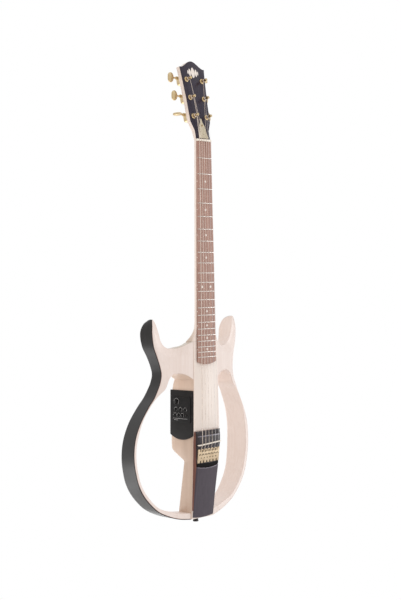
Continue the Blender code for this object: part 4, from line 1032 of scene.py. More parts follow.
def make_wing(side, name, band_name, node, band_node):
    rows = curve_through(wing_rows(), PER)
    edge = []
    for i in range(TIP * PER, len(rows)):
        lo = i // PER
        t = i / PER - lo
        reach = HOLLOW_REACH[lo] + (HOLLOW_REACH[min(lo + 1, 29)] - HOLLOW_REACH[lo]) * t
        edge.append((rows[i][0], rows[i][1], rows[i][2] - wing_base(rows[i][0], rows[i][1]), reach))
    rings, uv, band, band_uv = [], [], [], []
    run, last = 0.0, None
    for i, r in enumerate(rows):
        (w, z, y, wb, zb, yb, wi, zi, yi, ease, nx, nz) = r
        if last is not None:
            run += math.hypot(w - last[0], z - last[1])
        last = (w, z)
        if i <= (TIP - 1) * PER:
            skin = BAND_T + 0.42
        elif i <= TIP * PER:
            skin = (BAND_T + 0.42) * max(0.0, (TIP * PER - i) / PER) + 0.12
        else:
            skin = 0.0
        w1, z1, w1b, z1b = w + nx * skin, z + nz * skin, wb + nx * skin, zb + nz * skin
        depth = math.hypot(w1 - wi, z1 - zi)
        ri = 1.8
        ro = 0.25 if i < TIP * PER else 0.25 + 1.15 * min(1.0, (i - TIP * PER) / (1.5 * PER))
        cuts = [0.0, 0.15 * ri, 0.5 * ri, ri]
        inner_cuts = [ri + (depth - ro - ri) * (1 - (1 - k / 14.0) ** 1.2) for k in range(1, 14)]
        cuts = cuts + inner_cuts + [depth - ro, depth - 0.5 * ro, depth - 0.15 * ro, depth]
        blend = max(0.0, min(1.0, (i - 18.5 * PER) / (1.5 * PER)))
        bow = bow_at(i)
        front, back, fuv, buv = [], [], [], []
        follow = max(0.0, 1 - max(0.0, i / PER - 16.0) / 2.0) + max(0.0, min(1.0, (i / PER - 26.0) / 1.5))
        wib, zib = wi + (wb - w), zi + (zb - z) * follow
        ybi = inner_back(i, yb)
        swell = 1.0 + 1.1 * math.sin(math.pi * max(0.0, (i / PER - 15.0) / 14.0))
        for d in cuts:
            v = d / depth
            pw, pz = wi + (w1 - wi) * v + bow * 4 * v * (1 - v), zi + (z1 - zi) * v
            yy = yi + (y - yi) * v + 0.31 * bow * 4 * v * (1 - v)
            if blend:
                ends = (yi - wing_base(wi, zi)) * (1 - v) ** 2 * max(0.0, 1 - max(0.0, i / PER - 18.5) / 2.5)
                if i < TIP * PER:
                    ends += (y - wing_base(w1, z1)) * v ** 4
                yy = yy * (1 - blend) + (wing_base(pw, pz) + ends) * blend
            if i > 16 * PER:
                yy += hollow_at(pw, pz, edge)
                if i == len(rows) - 1:
                    yy = yi + (y - yi) * v
            yy += arc_off(d, ri) + arc_off(depth - d, ro)
            front.append((side * pw, yy, pz))
            back.append((side * (wib + (w1b - wib) * v + bow * 4 * v * (1 - v)), ybi + (yb - ybi) * v ** swell - arc_off(d, 1.8) - arc_off(depth - d, 0.4 if i < TIP * PER else 1.4),
                         zib + (z1b - zib) * v))
            fuv.append((run * MM, -d * MM))
            buv.append((run * MM, (d + 90) * MM))
        fo, bo = Vector(front[-1]), Vector(back[-1])
        fi, bi = Vector(front[0]), Vector(back[0])
        mids = (0.05, 0.35, 0.65, 0.95)
        arch = tip_arch(i)
        outer = [tuple(fo.lerp(bo, t) + Vector((0, 0, arch * 4 * t * (1 - t)))) for t in mids]
        innr = [tuple(bi.lerp(fi, t)) for t in mids]
        wall = (bo - fo).length
        ouv = [(run * MM, (t * wall) * MM) for t in mids]
        iuv = [(run * MM, (depth + 90 + t * wall) * MM) for t in mids]
        ring = front + outer + back[::-1] + innr
        rings.append(ring)
        uv += fuv + ouv + buv[::-1] + iuv
        if i <= TIP * PER:
            full = BAND_T + 0.38
            t = full if i < (TIP - 1) * PER else full * max(0.1, (TIP * PER - i) / PER)
            k = t / full

            def at(q, yy, rear=False):
                bw, bz = (wb, zb) if rear else (w, z)
                return (side * (bw + nx * q), yy, bz + nz * q)

            sec = [at(0, y + 0.45), at(0.13 * k, y + 0.13), at(0.45 * k, y), at(0.95 * k, y), at(t, y + 0.02),
                   at(t, yb - 0.02, True), at(0.45 * k, yb, True), at(0.13 * k, yb - 0.13, True), at(0, yb - 0.45, True)]
            a, b = Vector(sec[-1]), Vector(sec[0])
            sec += [tuple(a.lerp(b, q) + Vector((0, 0, arch * 4 * q * (1 - q)))) for q in (0.05, 0.35, 0.65, 0.95)]
            band.append(sec)
            band_uv += [(run * MM, q * MM * 3) for q in range(len(sec))]
    n = len(rings[0])
    wing = loft(name, rings, MAPLE_BENT, 30)
    faces = [0] * len(band[0])
    faces[3] = 1
    if side > 0:
        faces[0] = faces[1] = faces[2] = faces[3] = 2
    lam = loft(band_name, band, [BLACK_BAND, RED_WOOD, MAPLE_BENT], 30, uv=band_uv, ring_mats=faces)
    if side < 0:
        # painted shade: the bass wing's downward-facing inner walls beside the centre body take the shaded maple
        repaint(wing, MAPLE_WALL_SHADE, lambda n, c: abs(n.y) < 0.5 and n.z < -0.2 and c.z > -530 and c.x > -64)
        # painted shade: walls round the bass cutaway that face up take a darker maple
        repaint(wing, MAPLE_CUTAWAY_SHADE, lambda n, c: abs(n.y) < 0.7 and n.z > 0.3 and c.x > -76 and c.z > -460)
    put(wing, "guitar", node)
    put(lam, "guitar", band_node)
    return wing, lam


make_wing(-1, "bass_wing_maple", "bass_band_ply", "bass_wing", "bass_side_band")
make_wing(1, "treble_wing_maple", "treble_band_ply", "treble_wing", "treble_side_band")

# ================================================================ bridge, its wedge, saddle, plate, tail cover
rings = []
for z in (-626.0, -636.6, -648, -660, -680, -702, -730, -757, -780, -799):
    t, low = under_black(z) + 0.05, beam_front(z) - 0.05
    bt, bb = black_half(z) + 0.9, beam_half(z) - 0.4
    rings.append([(-bt, t, z), (bt, t, z), (bb, low, z), (-bb, low, z)])
put(loft("bridge_wedge", rings, RED_WOOD, 30), "guitar", "bridge_base")


def lower_edge(x):
    return -702.0 - 4.0 * (1 - (x / 33.5) ** 2)


BF = [-1, -0.99, -0.965, -0.93] + [-0.84 + 0.14 * k for k in range(13)] + [0.93, 0.965, 0.99, 1]


def black_body(name, zs, mat, start=None, end=None, ridge=0.8, start_round=0.0, end_round=0.0):
    rings = []
    z_first, z_last = zs[0], zs[-1]
    for z in zs:
        bt = softened(black_half, z, 1.5)
        bb = bt + 0.9
        bow_lo = lower_edge if end == "bow" and z == z_last else None
        front, back = [], []
        for f in BF:
            x = f * bt
            e = bt - abs(x)
            zz = z
            if end == "bow":
                s = max(0.0, min(1.0, (-690.0 - z) / 12.0))
                zz = z + (lower_edge(x) + 702.0) * s
            if start == "bow":
                s = max(0.0, min(1.0, (z + 722.0) / 19.7))
                zz = z + (lower_edge(x) + 702.0 - 0.35) * s
            if z < -812:
                zz = z + 2.6 * f * f
            y = softened(black_front, z, ridge) + arc_off(e, 1.3) + 0.9 * f * f
            if start_round:
                y += arc_off(abs(z - z_first), start_round)
            if end_round:
                y += arc_off(abs(z - z_last), end_round)
            y = min(y, under_black(z) - 0.4)
            front.append((x, y, zz))
            back.append((f * bb, under_black(z), zz))
        rings.append(front + back[::-1])
    return loft(name, rings, mat, 34, rows=True)


zs = [-625.7, -625.85, -626.2, -626.8, -628.5, -631, -633.5, -635.2, -636, -636.6, -637.2, -638, -640, -644, -648, -652, -656, -659, -661, -663,
      -665, -670, -678, -688, -693, -695, -697, -699.5, -701.2, -701.7, -702]
bridge = black_body("ebony_bridge_block", zs, EBONY, end="bow", ridge=1.8, start_round=0.8, end_round=2.2)
saddle_frame = Matrix.Translation(Vector((0, 0, -653.85)) * MM) @ Matrix.Rotation(math.atan2(4.0, 72.0), 4, "Y").inverted()
combine(bridge, [box("saddle_slot", (-45, -8, -1.6), (45, 2.1, 1.6), EBONY, matrix=saddle_frame)])
# painted shadow: the walls of the plate's recess take the near-black colour
recess = loft("plate_recess", [[(-50, -6, z), (50, -6, z), (50, f, z), (-50, f, z)] for z, f in ((-664.2, 0.55), (-695.1, 3.5))], SHADOW, None)
combine(bridge, [recess])
# painted shadow along the bridge's bowed lower lip
repaint(bridge, SHADOW, lambda n, c: c.z < -697.2 + 2.6 * (c.x / 33.5) ** 2)
# painted highlight along the bridge's ridge
repaint(bridge, EBONY_HIGHLIGHT, lambda n, c: -638.3 < c.z < -636.0 and n.y < -0.3 and abs(c.x) < 35.2)
smooth_by(bridge, 32)
put(bridge, "guitar", "bridge")

rings = []
for k in range(41):
    x = -34.6 + 69.2 * k / 40.0
    hi = -6.0 + (0.35 if k in (0, 40) else 0.0)
    w = 1.25 - (0.25 if k in (0, 40) else 0)
    rings.append([(x, 0.1, -w), (x, hi + 0.9, -w), (x, hi + 0.35, -w + 0.2), (x, hi + 0.06, -w + 0.6), (x, hi, 0), (x, hi + 0.06, w - 0.6),
                  (x, hi + 0.35, w - 0.2), (x, hi + 0.9, w), (x, 0.1, w)])
saddle = loft("bone_saddle", rings, BONE, 40, matrix=saddle_frame)
put(saddle, "guitar", "saddle")

zs = [-702.3, -702.6, -703.2, -704.2, -706, -710, -716, -725, -740, -757, -775, -792, -805, -811, -814, -816.2, -816.8, -817]
tail = black_body("ebony_tail_cover", zs, TAIL_BLACK, start="bow", ridge=2.5, start_round=1.6, end_round=0.8)
# painted highlight along the tail cover's top lip
repaint(tail, EBONY_HIGHLIGHT, lambda n, c: n.y < -0.2 and c.z > lower_edge(c.x) - 2.6 and abs(c.x) < 32.4)
put(tail, "guitar", "tail_cover")

# string plate, with string slots along the upper edge, pockets for the anchors along the lower edge, and rows of
# engraved leaf marks
string_x = [SADDLE_SPREAD * (k / 5.0 - 0.5) for k in range(6)]


def plate_y(z):
    return -1.4 + (-664.5 - z) * 0.1


PLATE_N = Vector((0, -1, -0.1)).normalized()
top_edge, low_edge = -664.6, -694.7
loop = [(-33.6, top_edge)]
for k in range(6):
    x = string_x[k]
    loop += [(x - 2.1, top_edge), (x - 2.1, top_edge - 5.2), (x - 1.2, top_edge - 6.0), (x + 1.2, top_edge - 6.0), (x + 2.1, top_edge - 5.2), (x + 2.1, top_edge)]
loop += [(33.6, top_edge), (32.9, low_edge)]
for k in reversed(range(6)):
    x = string_x[k] * 0.96
    loop += [(x + 1.6, low_edge), (x + 1.6, low_edge + 4.2), (x + 0.8, low_edge + 5.0), (x - 0.8, low_edge + 5.0), (x - 1.6, low_edge + 4.2), (x - 1.6, low_edge)]
loop.append((-32.9, low_edge))
plate = loft("gold_anchor_plate", [[(x, plate_y(z), z) for x, z in loop], [(x, plate_y(z) + 1.6, z) for x, z in loop]], PLATE_GOLD, 30)
bevel(plate, 0.22, 2, 50)


def engrave(name, outline, mat):
    a = [Vector((x, plate_y(z), z)) + PLATE_N * 2 for x, z in outline]
    b = [Vector((x, plate_y(z), z)) - PLATE_N * 0.45 for x, z in outline]
    return loft(name, [a, b], mat, 30)


def leaf(cx, cz, length, width, turn, n=9):
    pts = []
    for k in range(n):
        t = k / (n - 1)
        pts.append((t - 0.5, 0.5 * math.sin(math.pi * t)))
    pts += [(p[0], -p[1]) for p in pts[-2:0:-1]]
    c, s = math.cos(turn), math.sin(turn)
    return [(cx + (u * length) * c - (v * width) * s, cz + (u * length) * s + (v * width) * c) for u, v in pts]


GROOVE = metal("engraved_patina", (76, 58, 36), (46, 34, 22), rough=(0.55, 0.7), metallic=0.2)
marks = []
for k in range(5):
    x = (string_x[k] + string_x[k + 1]) / 2
    marks.append(engrave("mark", leaf(x, -669.0, 6.6, 3.0, RAD(90)), GROOVE))
for k in range(7):
    x = -27.0 + 9.0 * k
    marks.append(engrave("mark", leaf(x - 1.9, -676.8, 5.4, 2.2, RAD(52)), GROOVE))
    marks.append(engrave("mark", leaf(x + 1.9, -676.8, 5.4, 2.2, RAD(128)), GROOVE))
for k in range(6):
    x = -22.5 + 9.0 * k
    marks.append(engrave("mark", leaf(x, -684.0, 4.4, 2.4, RAD(0)), GROOVE))
combine(plate, marks)
smooth_by(plate, 30)
put(plate, "guitar", "string_plate")

# ================================================================ back cover, battery door
bc = box("back_cover_plate", (-35.5, BOX_BACK - BACK_COVER_T, -662.0), (35.5, BOX_BACK, -550.0), MAPLE)
bevel(bc, 0.5, 3)
combine(bc, [box("cradle_l", (-15.6, 56, -624), (-13.6, BOX_BACK - 1, -578), CASE),
             box("cradle_r", (13.6, 56, -624), (15.6, BOX_BACK - 1, -578), CASE),
             box("cradle_floor", (-15.6, 53.0, -618), (15.6, 54.6, -584), CASE),
             box("cradle_wl", (-15.6, 53.0, -618), (-13.6, 60, -584), CASE),
             box("cradle_wr", (13.6, 53.0, -618), (15.6, 60, -584), CASE)], "UNION")
cutters = [box("door_window", (-17.4, BOX_BACK - 3.4, -629.4), (17.4, 90, -569.2), CASE),
           rod("pivot_l", (-19.0, HINGE_Y, HINGE_Z), (-16, HINGE_Y, HINGE_Z), 1.0, 12, CASE),
           rod("pivot_r", (16, HINGE_Y, HINGE_Z), (19.0, HINGE_Y, HINGE_Z), 1.0, 12, CASE)]
screw_at = [(sx * 31.0, z) for sx in (-1, 1) for z in (-555.0, -606.0, -657.0)]
for x, z in screw_at:
    cutters.append(lathe("countersink", [(0, -3.0), (1.2, -3.0), (1.2, -1.4), (2.9, 0.3), (2.9, 1.5), (0, 1.5)], 24, MAPLE, frame_z((x, BOX_BACK, z), (0, 1, 0))))
combine(bc, cutters)
combine(bc, [box("cradle_l2", (-15.6, 56, -624), (-13.6, 72.3, -578), CASE),
             box("cradle_r2", (13.6, 56, -624), (15.6, 72.3, -578), CASE),
             box("tab_l", (-20.0, 70.6, -624), (-13.6, 72.9, -610), CASE),
             box("tab_r", (13.6, 70.6, -624), (20.0, 72.9, -610), CASE)], "UNION")
smooth_by(bc, 30)
put(bc, "guitar", "back_cover")


def cross_screw(x, z, name):
    f = frame_z((x, BOX_BACK, z), (0, 1, 0))
    s = lathe(name, [(0, -2.8), (1.0, -2.8), (1.0, -1.3), (2.6, 0.02), (2.4, 0.12), (0, 0.16)], 24, GOLD, f)
    # painted shadow in the cross slot
    combine(s, [box("a", (-1.5, -0.3, -0.9), (1.5, 0.3, 2), SHADOW, f), box("b", (-0.3, -1.5, -0.9), (0.3, 1.5, 2), SHADOW, f)])
    return s


covers = join("back_cover_screws", [cross_screw(x, z, "screw") for x, z in screw_at])
smooth_by(covers, 34)
put(covers, "guitar", slot="gold_plate")

hinge_frame = Matrix.Translation(Vector((0, HINGE_Y, HINGE_Z)) * MM)
door = box("battery_door_panel", (-17.0, -1.1, -57.3), (17.0, 1.4, -1.0), PANEL, matrix=hinge_frame)
bevel(door, 0.5, 3)
combine(door, [rod("barrel", (-16.6, HINGE_Y, HINGE_Z), (16.6, HINGE_Y, HINGE_Z), 1.5, 20, PANEL),
               rod("stub", (-18.6, HINGE_Y, HINGE_Z), (18.6, HINGE_Y, HINGE_Z), 0.8, 14, PANEL)], "UNION")
grooves = [rod("nail_groove", (-7, HINGE_Y + 1.9, HINGE_Z - 53), (7, HINGE_Y + 1.9, HINGE_Z - 53), 1.2, 16, PANEL)]
for k in range(6):
    grooves.append(rod("grip", (-9, HINGE_Y + 1.75, HINGE_Z - 38 - 2.2 * k), (9, HINGE_Y + 1.75, HINGE_Z - 38 - 2.2 * k), 0.7, 12, PANEL))
combine(door, grooves)
smooth_by(door, 30)
put(door, "door", "battery_door")

# ================================================================ preamp panel, case, knobs and button
mid, reach = (PANEL_Y[0] + PANEL_Y[1]) / 2, (PANEL_Y[1] - PANEL_Y[0]) / 2
corner = rounded([(PANEL_Y[0], PANEL_Z[1]), (PANEL_Y[0], PANEL_Z[0]), (PANEL_Y[1], PANEL_Z[0]), (PANEL_Y[1], PANEL_Z[1])], [0.01, 1.6, 1.6, 0.01], 4)
loop = [p for p in corner if p[1] > PANEL_Z[1] + 0.5]
for k in range(0, 33):
    t = 1 - 2 * k / 32.0
    loop.append((mid + reach * t, PANEL_Z[1] + (PANEL_Z[2] - PANEL_Z[1]) * (1 - t * t)))
panel = loft("preamp_panel_frame", [[on_wall(y, z, 0.05) for y, z in loop], [on_wall(y, z, 2.3) for y, z in loop]], PANEL, 30)
bevel(panel, 0.8, 3, 50)


def wall_prism(name, y0, y1, z0, z1, a, b, mat, r=0.0):
    pts = [(y0, z0), (y1, z0), (y1, z1), (y0, z1)]
    if r:
        pts = rounded(pts, r, 5)
    return loft(name, [[on_wall(y, z, a) for y, z in pts], [on_wall(y, z, b) for y, z in pts]], mat, 30)


combine(panel, [wall_prism("panel_window", 15.5, 66.5, -604.5, -555.5, -2, 5, PANEL)])
smooth_by(panel, 30)
put(panel, "guitar", "preamp_panel")
rings = []
for lift, inset in ((2.35, 0.0), (3.5, 0.0), (3.78, 0.08), (3.94, 0.24), (4.0, 0.5)):
    lo_y, hi_y, lo_z, hi_z = BEZEL_Y[0] + inset, BEZEL_Y[1] - inset, BEZEL_Z[0] + inset, BEZEL_Z[1] - inset
    rings.append([on_wall(y, z, lift) for y, z in rounded([(lo_y, lo_z), (hi_y, lo_z), (hi_y, hi_z), (lo_y, hi_z)], 3.0 - inset, 5)])
case = loft("control_plate", rings, CASE, 30)
cutters = []
for name, (y, z, r) in list(KNOBS.items()) + [("phase_button", PHASE_BUTTON)]:
    cutters.append(rod("shaft_hole", on_wall(y, z, -2.0), on_wall(y, z, 8), 1.3, 16, CASE))
    if name == "phase_button":
        cutters.append(rod("button_well", on_wall(y, z, 1.0), on_wall(y, z, 8), 2.3, 24, CASE))
    else:
        cutters.append(lathe("dish", [(0, 3.62), (r + 0.5, 3.62), (r + 1.1, 4.3), (0, 4.3)], 32, CASE, frame_z(on_wall(y, z), WALL_N, WALL_V)))
combine(case, cutters, solver="MANIFOLD")
case = join("control_plate", [case, wall_prism("case_body", 16.2, 65.8, -603.8, -556.2, -20.0, 2.2, CASE)])
smooth_by(case, 30)
put(case, "guitar", "preamp_case")


def ribbon(name, pts, width, lift, mat, thick=0.12):
    """A printed line: a flat strip through (y, z) points on the panel's face."""
    rings = []
    n = len(pts)
    for i, p in enumerate(pts):
        a, b = pts[max(i - 1, 0)], pts[min(i + 1, n - 1)]
        d = Vector((b[0] - a[0], b[1] - a[1])).normalized()
        o = Vector((-d.y, d.x)) * width / 2
        rings.append([on_wall(p[0] + o.x, p[1] + o.y, lift - thick), on_wall(p[0] - o.x, p[1] - o.y, lift - thick),
                      on_wall(p[0] - o.x, p[1] - o.y, lift), on_wall(p[0] + o.x, p[1] + o.y, lift)])
    return loft(name, rings, mat, 30)


prints = []
for name, (y, z, r) in KNOBS.items():
    # face angles run from the top, and -Y is to the right when the panel is seen from outside
    big = r > 4
    out = r + (2.0 if big else 1.45)
    arc = [(y - math.sin(RAD(a)) * out, z + math.cos(RAD(a)) * out) for a in range(-135, 136, 9)]
    prints.append(ribbon("arc", arc, 0.5 if big else 0.42, 4.05, PRINT))
    steps = 11 if big else 7
    for k in range(steps):
        a = RAD(-135 + 270 * k / (steps - 1))
        q0, q1 = out, out + (1.5 if big else 0.8)
        prints.append(ribbon("tick", [(y - math.sin(a) * q0, z + math.cos(a) * q0), (y - math.sin(a) * q1, z + math.cos(a) * q1)],
                             0.4 if big else 0.32, 4.05, PRINT))
prints.append(ribbon("rule", [(64.0, -599.5), (20.5, -599.5)], 0.55, 4.05, PRINT))
prints.append(ribbon("rule", [(61.0, -602.8), (49.0, -602.8)], 0.5, 4.05, PRINT))
put(join("panel_scale_print", prints), "guitar", slot="case_plastic")

for name, (y, z, r) in KNOBS.items():
    big = r > 4
    h = 6.5 if big else 4.6
    top_h = 4.4 + h
    flutes = 18 if big else 12

    def fluted(a, q, hh, r=r, flutes=flutes, top_h=top_h):
        if q < r - 0.35 or hh < 4.9:
            return q
        return q - 0.28 * (0.5 + 0.5 * math.cos(flutes * a)) ** 2

    prof = [(0, -1.0), (1.0, -1.0), (1.0, 4.4), (r * 0.98, 4.4), (r, 4.6), (r, 5.0), (r * 0.985, top_h - 0.9), (r - 0.25, top_h - 0.35), (r - 0.7, top_h),
            (r - 1.1, top_h - 0.05), (0, top_h - 0.12)]
    f = frame_z(on_wall(y, z), WALL_N, WALL_V)
    cap = lathe("knob_" + name.replace("_knob", ""), prof, flutes * 6, KNOB, f, 32, fluted)
    # the pointer line stands at twelve o'clock at rest: local X runs up the wall
    line = box("pointer", (r * 0.25, -0.22, top_h - 0.3), (r - 0.55, 0.22, top_h + 0.06), PRINT, f)
    body_name = name.replace("_knob", "")
    piece = join(name + "_cap", [cap, line])
    smooth_by(piece, 32)
    put(piece, body_name, name)
y, z, r = PHASE_BUTTON
push = lathe("phase_push", [(0, -0.2), (1.0, -0.2), (1.0, 2.6), (r, 2.6), (r, 5.3), (r - 0.15, 5.6), (r - 0.5, 5.78), (0, 5.9)], 36, KNOB,
             frame_z(on_wall(y, z), WALL_N, WALL_V))
put(push, "phase", "phase_button")

# ================================================================ output jack and strap button
jf = frame_z((0, JACK_Y, BODY_END), (0, 0, 1))


def knurl(a, q, h):
    return q - 0.18 * (0.5 + 0.5 * math.cos(40 * a)) if -10.9 < h < -9.1 else q


jack = lathe("end_pin_jack_body", [(5.1, 34.0), (5.1, -0.3), (7.2, -0.3), (7.4, -0.5), (7.4, -1.9), (7.1, -2.3), (5.6, -3.0), (5.6, -8.0), (6.05, -8.8),
                                   (6.2, -9.2), (6.2, -10.7), (5.9, -11.0), (5.0, -11.0), (3.7, -11.0), (3.5, -10.7), (3.5, 26.0), (0, 26.0)][::-1],
             160, JACK_METAL, jf, 32, knurl)
put(jack, "guitar", "end_pin_jack")
washer = lathe("jack_washer", [(5.6, -0.05), (8.6, -0.05), (8.6, -0.22), (8.4, -0.3), (5.6, -0.3)], 48, JACK_METAL, jf)
bpy.data.objects.remove(washer, do_unlink=True)

SLOPE_N = Vector((0, 1, 0.475)).normalized()
seat = Vector((0, 47.5, -470.0))
sf = frame_z(seat, SLOPE_N)
button = lathe("strap_button_body", [(0, 0.3), (6.8, 0.3), (7.0, 0.6), (7.0, 1.3), (6.6, 1.8), (4.6, 2.9), (3.95, 4.2), (3.7, 6.5), (3.9, 9.2), (5.0, 11.2),
                                     (6.8, 12.0), (7.2, 12.5), (7.2, 13.2), (6.9, 13.8), (6.2, 14.2), (3.9, 14.2), (3.6, 13.2), (0, 13.2)], 56, GOLD, sf)
head = lathe("strap_screw", [(0, 11.5), (1.5, 11.5), (3.4, 13.25), (3.3, 13.7), (2.2, 14.1), (0, 14.2)], 32, GOLD, sf)
# painted shadow in the screw's cross slot
combine(head, [box("a", (-2.0, -0.4, 12.9), (2.0, 0.4, 16), SHADOW, sf), box("b", (-0.4, -2.0, 12.9), (0.4, 2.0, 16), SHADOW, sf)])
piece = join("strap_button_turned", [button, head])
smooth_by(piece, 34)
put(piece, "guitar", "strap_button")

# ================================================================ tuners
KEY_SECTIONS = [(-7.0, 2.0, 2.0), (-6.8, 2.2, 2.2), (6.0, 2.2, 2.2), (6.2, 1.5, 1.5), (9.3, 1.5, 1.5), (9.5, 3.1, 3.1), (9.9, 3.2, 3.2), (10.9, 3.2, 3.2),
                (11.3, 2.2, 2.2), (12.4, 1.9, 1.9), (18.4, 1.9, 1.9), (19.3, 2.6, 2.1), (20.4, 5.6, 2.7), (22.4, 8.9, 3.4), (25.0, 10.6, 3.65),
                (27.5, 11.0, 3.7), (30.0, 10.4, 3.5), (32.0, 9.2, 3.15), (33.4, 7.2, 2.6), (34.0, 5.4, 1.9), (34.2, 3.0, 0.9)]


def oval(x, az, ay, seg=40):
    out = []
    square = 2.0 if az < 3.5 else 2.8
    for k in range(seg):
        a = 2 * math.pi * k / seg
        c, s = math.cos(a), math.sin(a)
        out.append((x, ay * math.copysign(abs(s) ** (2 / square), s), az * math.copysign(abs(c) ** (2 / square), c)))
    return out


for side, label in ((-1, "bass"), (1, "treble")):
    for k, (px, pz) in enumerate(POSTS):
        base = on_head(side * px, pz)
        tag = "%s_%d" % (label, k + 1)
        pf = frame_z(base, FRONT_N, Vector((1, 0, 0)))
        gear = -(VENEER_T + GAP + HEAD_T + WORM_DEPTH)
        post = lathe("post_" + tag, [(0, gear - 2.2), (5.6, gear - 2.2), (5.6, gear + 2.2), (3.0, gear + 2.2), (3.0, 5.0), (2.95, 5.4), (2.6, 6.5), (2.5, 8.0),
                                     (2.6, 9.5), (2.95, 10.7), (3.0, 11.2), (3.0, POST_H - 0.7), (2.85, POST_H - 0.25), (2.4, POST_H), (1.0, POST_H), (0.8, POST_H - 0.25), (0, POST_H - 0.3)],
                     40, GOLD, pf)
        hole = lathe("hole", [(0.75, -6), (0.75, 6)], 14, GOLD, pf @ Matrix.Translation(Vector((0, 0, 12.4)) * MM) @ Matrix.Rotation(RAD(90), 4, "Y"))
        combine(post, [hole])
        smooth_by(post, 34)
        put(post, "post_" + tag, "tuner_post_" + tag)
        back = -(VENEER_T + GAP + HEAD_T + 0.05)
        # sleeve and face bushing, with a rolled rim
        hs = lathe("housing_" + tag, [(4.6, back - 1.4), (4.6, 0.05), (5.9, 0.05), (6.0, 0.25), (6.0, 0.8), (5.8, 1.15), (5.3, 1.3), (5.05, 1.9), (4.6, 2.35), (4.1, 2.45), (3.6, 2.3)], 40, GOLD, pf)
        case_pts = rounded([(-7.6, -6.2), (-4.2, -8.9), (4.2, -8.9), (7.6, -6.2), (7.6, 9.6), (4.8, 12.5), (-4.8, 12.5), (-7.6, 9.6)], 3.6, 4)
        gc_rings = []
        for depth, shrink in ((0.0, 1.0), (0.6, 1.0), (7.0, 0.99), (8.6, 0.96), (9.8, 0.9), (10.7, 0.8), (11.2, 0.66), (11.4, 0.45)):
            gc_rings.append([(x * shrink, (yy - 1.8) * shrink + 1.8, back - depth) for x, yy in case_pts])
        gc = loft("gear_case", gc_rings, GOLD, 40, matrix=pf)
        combine(hs, [gc], "UNION")
        worm = Vector(pf.translation) / MM + FRONT_N * gear + Vector((0, HEAD_SIN, HEAD_COS)) * WORM_OFF
        combine(hs, [lathe("post_bore", [(3.3, gear - 2.6), (3.3, 4)], 32, GOLD, pf),
                     lathe("wheel_room", [(6.0, gear - 2.7), (6.0, gear + 2.7)], 32, GOLD, pf),
                     rod("worm_bore", worm + Vector((-7.4 * side, 0, 0)), worm + Vector((side * 12.0, 0, 0)), 2.5, 24, GOLD)])
        smooth_by(hs, 34)
        collar = lathe("collar", [(2.5, 0), (3.9, 0), (4.0, 0.2), (4.0, 1.1), (3.7, 1.4), (2.5, 1.4)], 32, GOLD, frame_z(worm + Vector((side * 7.5, 0, 0)), (side, 0, 0), Vector((0, 0, 1))))
        piece = join("tuner_case_" + tag, [hs, collar])
        put(piece, "guitar", "tuner_housing_" + tag)
        turn = RAD(90) if (k == 0) == (side < 0) and k != 1 else 0.0
        kf = Matrix.Translation(worm * MM) @ Matrix.Rotation(turn, 4, "X")
        key = loft("key_" + tag, [oval(side * x, az, ay) for x, az, ay in KEY_SECTIONS], GOLD, 40, matrix=kf)
        button_screw = lathe("button_screw", [(0, -0.6), (1.5, -0.6), (1.7, 0.0), (1.6, 0.35), (0.9, 0.6), (0, 0.65)], 24, GOLD,
                             kf @ frame_z((side * 33.9, 0, 0), (side, 0, 0), Vector((0, 0, 1))))
        bpy.data.objects.remove(button_screw, do_unlink=True)
        put(key, "key_" + tag, "tuner_key_" + tag)
        for sgn in (0,):
            sc = frame_z(on_head(side * px, pz) + BACK_N * (VENEER_T + GAP + HEAD_T) + Vector((0, -HEAD_SIN, -HEAD_COS)) * 10.6, BACK_N)
            scr = lathe("plate_screw_" + tag, [(0, -5.0), (0.9, -4.6), (1.1, 0.0), (2.2, 0.05), (2.15, 0.5), (1.5, 1.0), (0, 1.15)], 24, GOLD, sc)
            # painted shadow in the screw's slot
            combine(scr, [box("a", (-1.5, -0.25, 0.5), (1.5, 0.25, 2), SHADOW, sc)])
            smooth_by(scr, 34)
            put(scr, "guitar", slot="gold_plate")

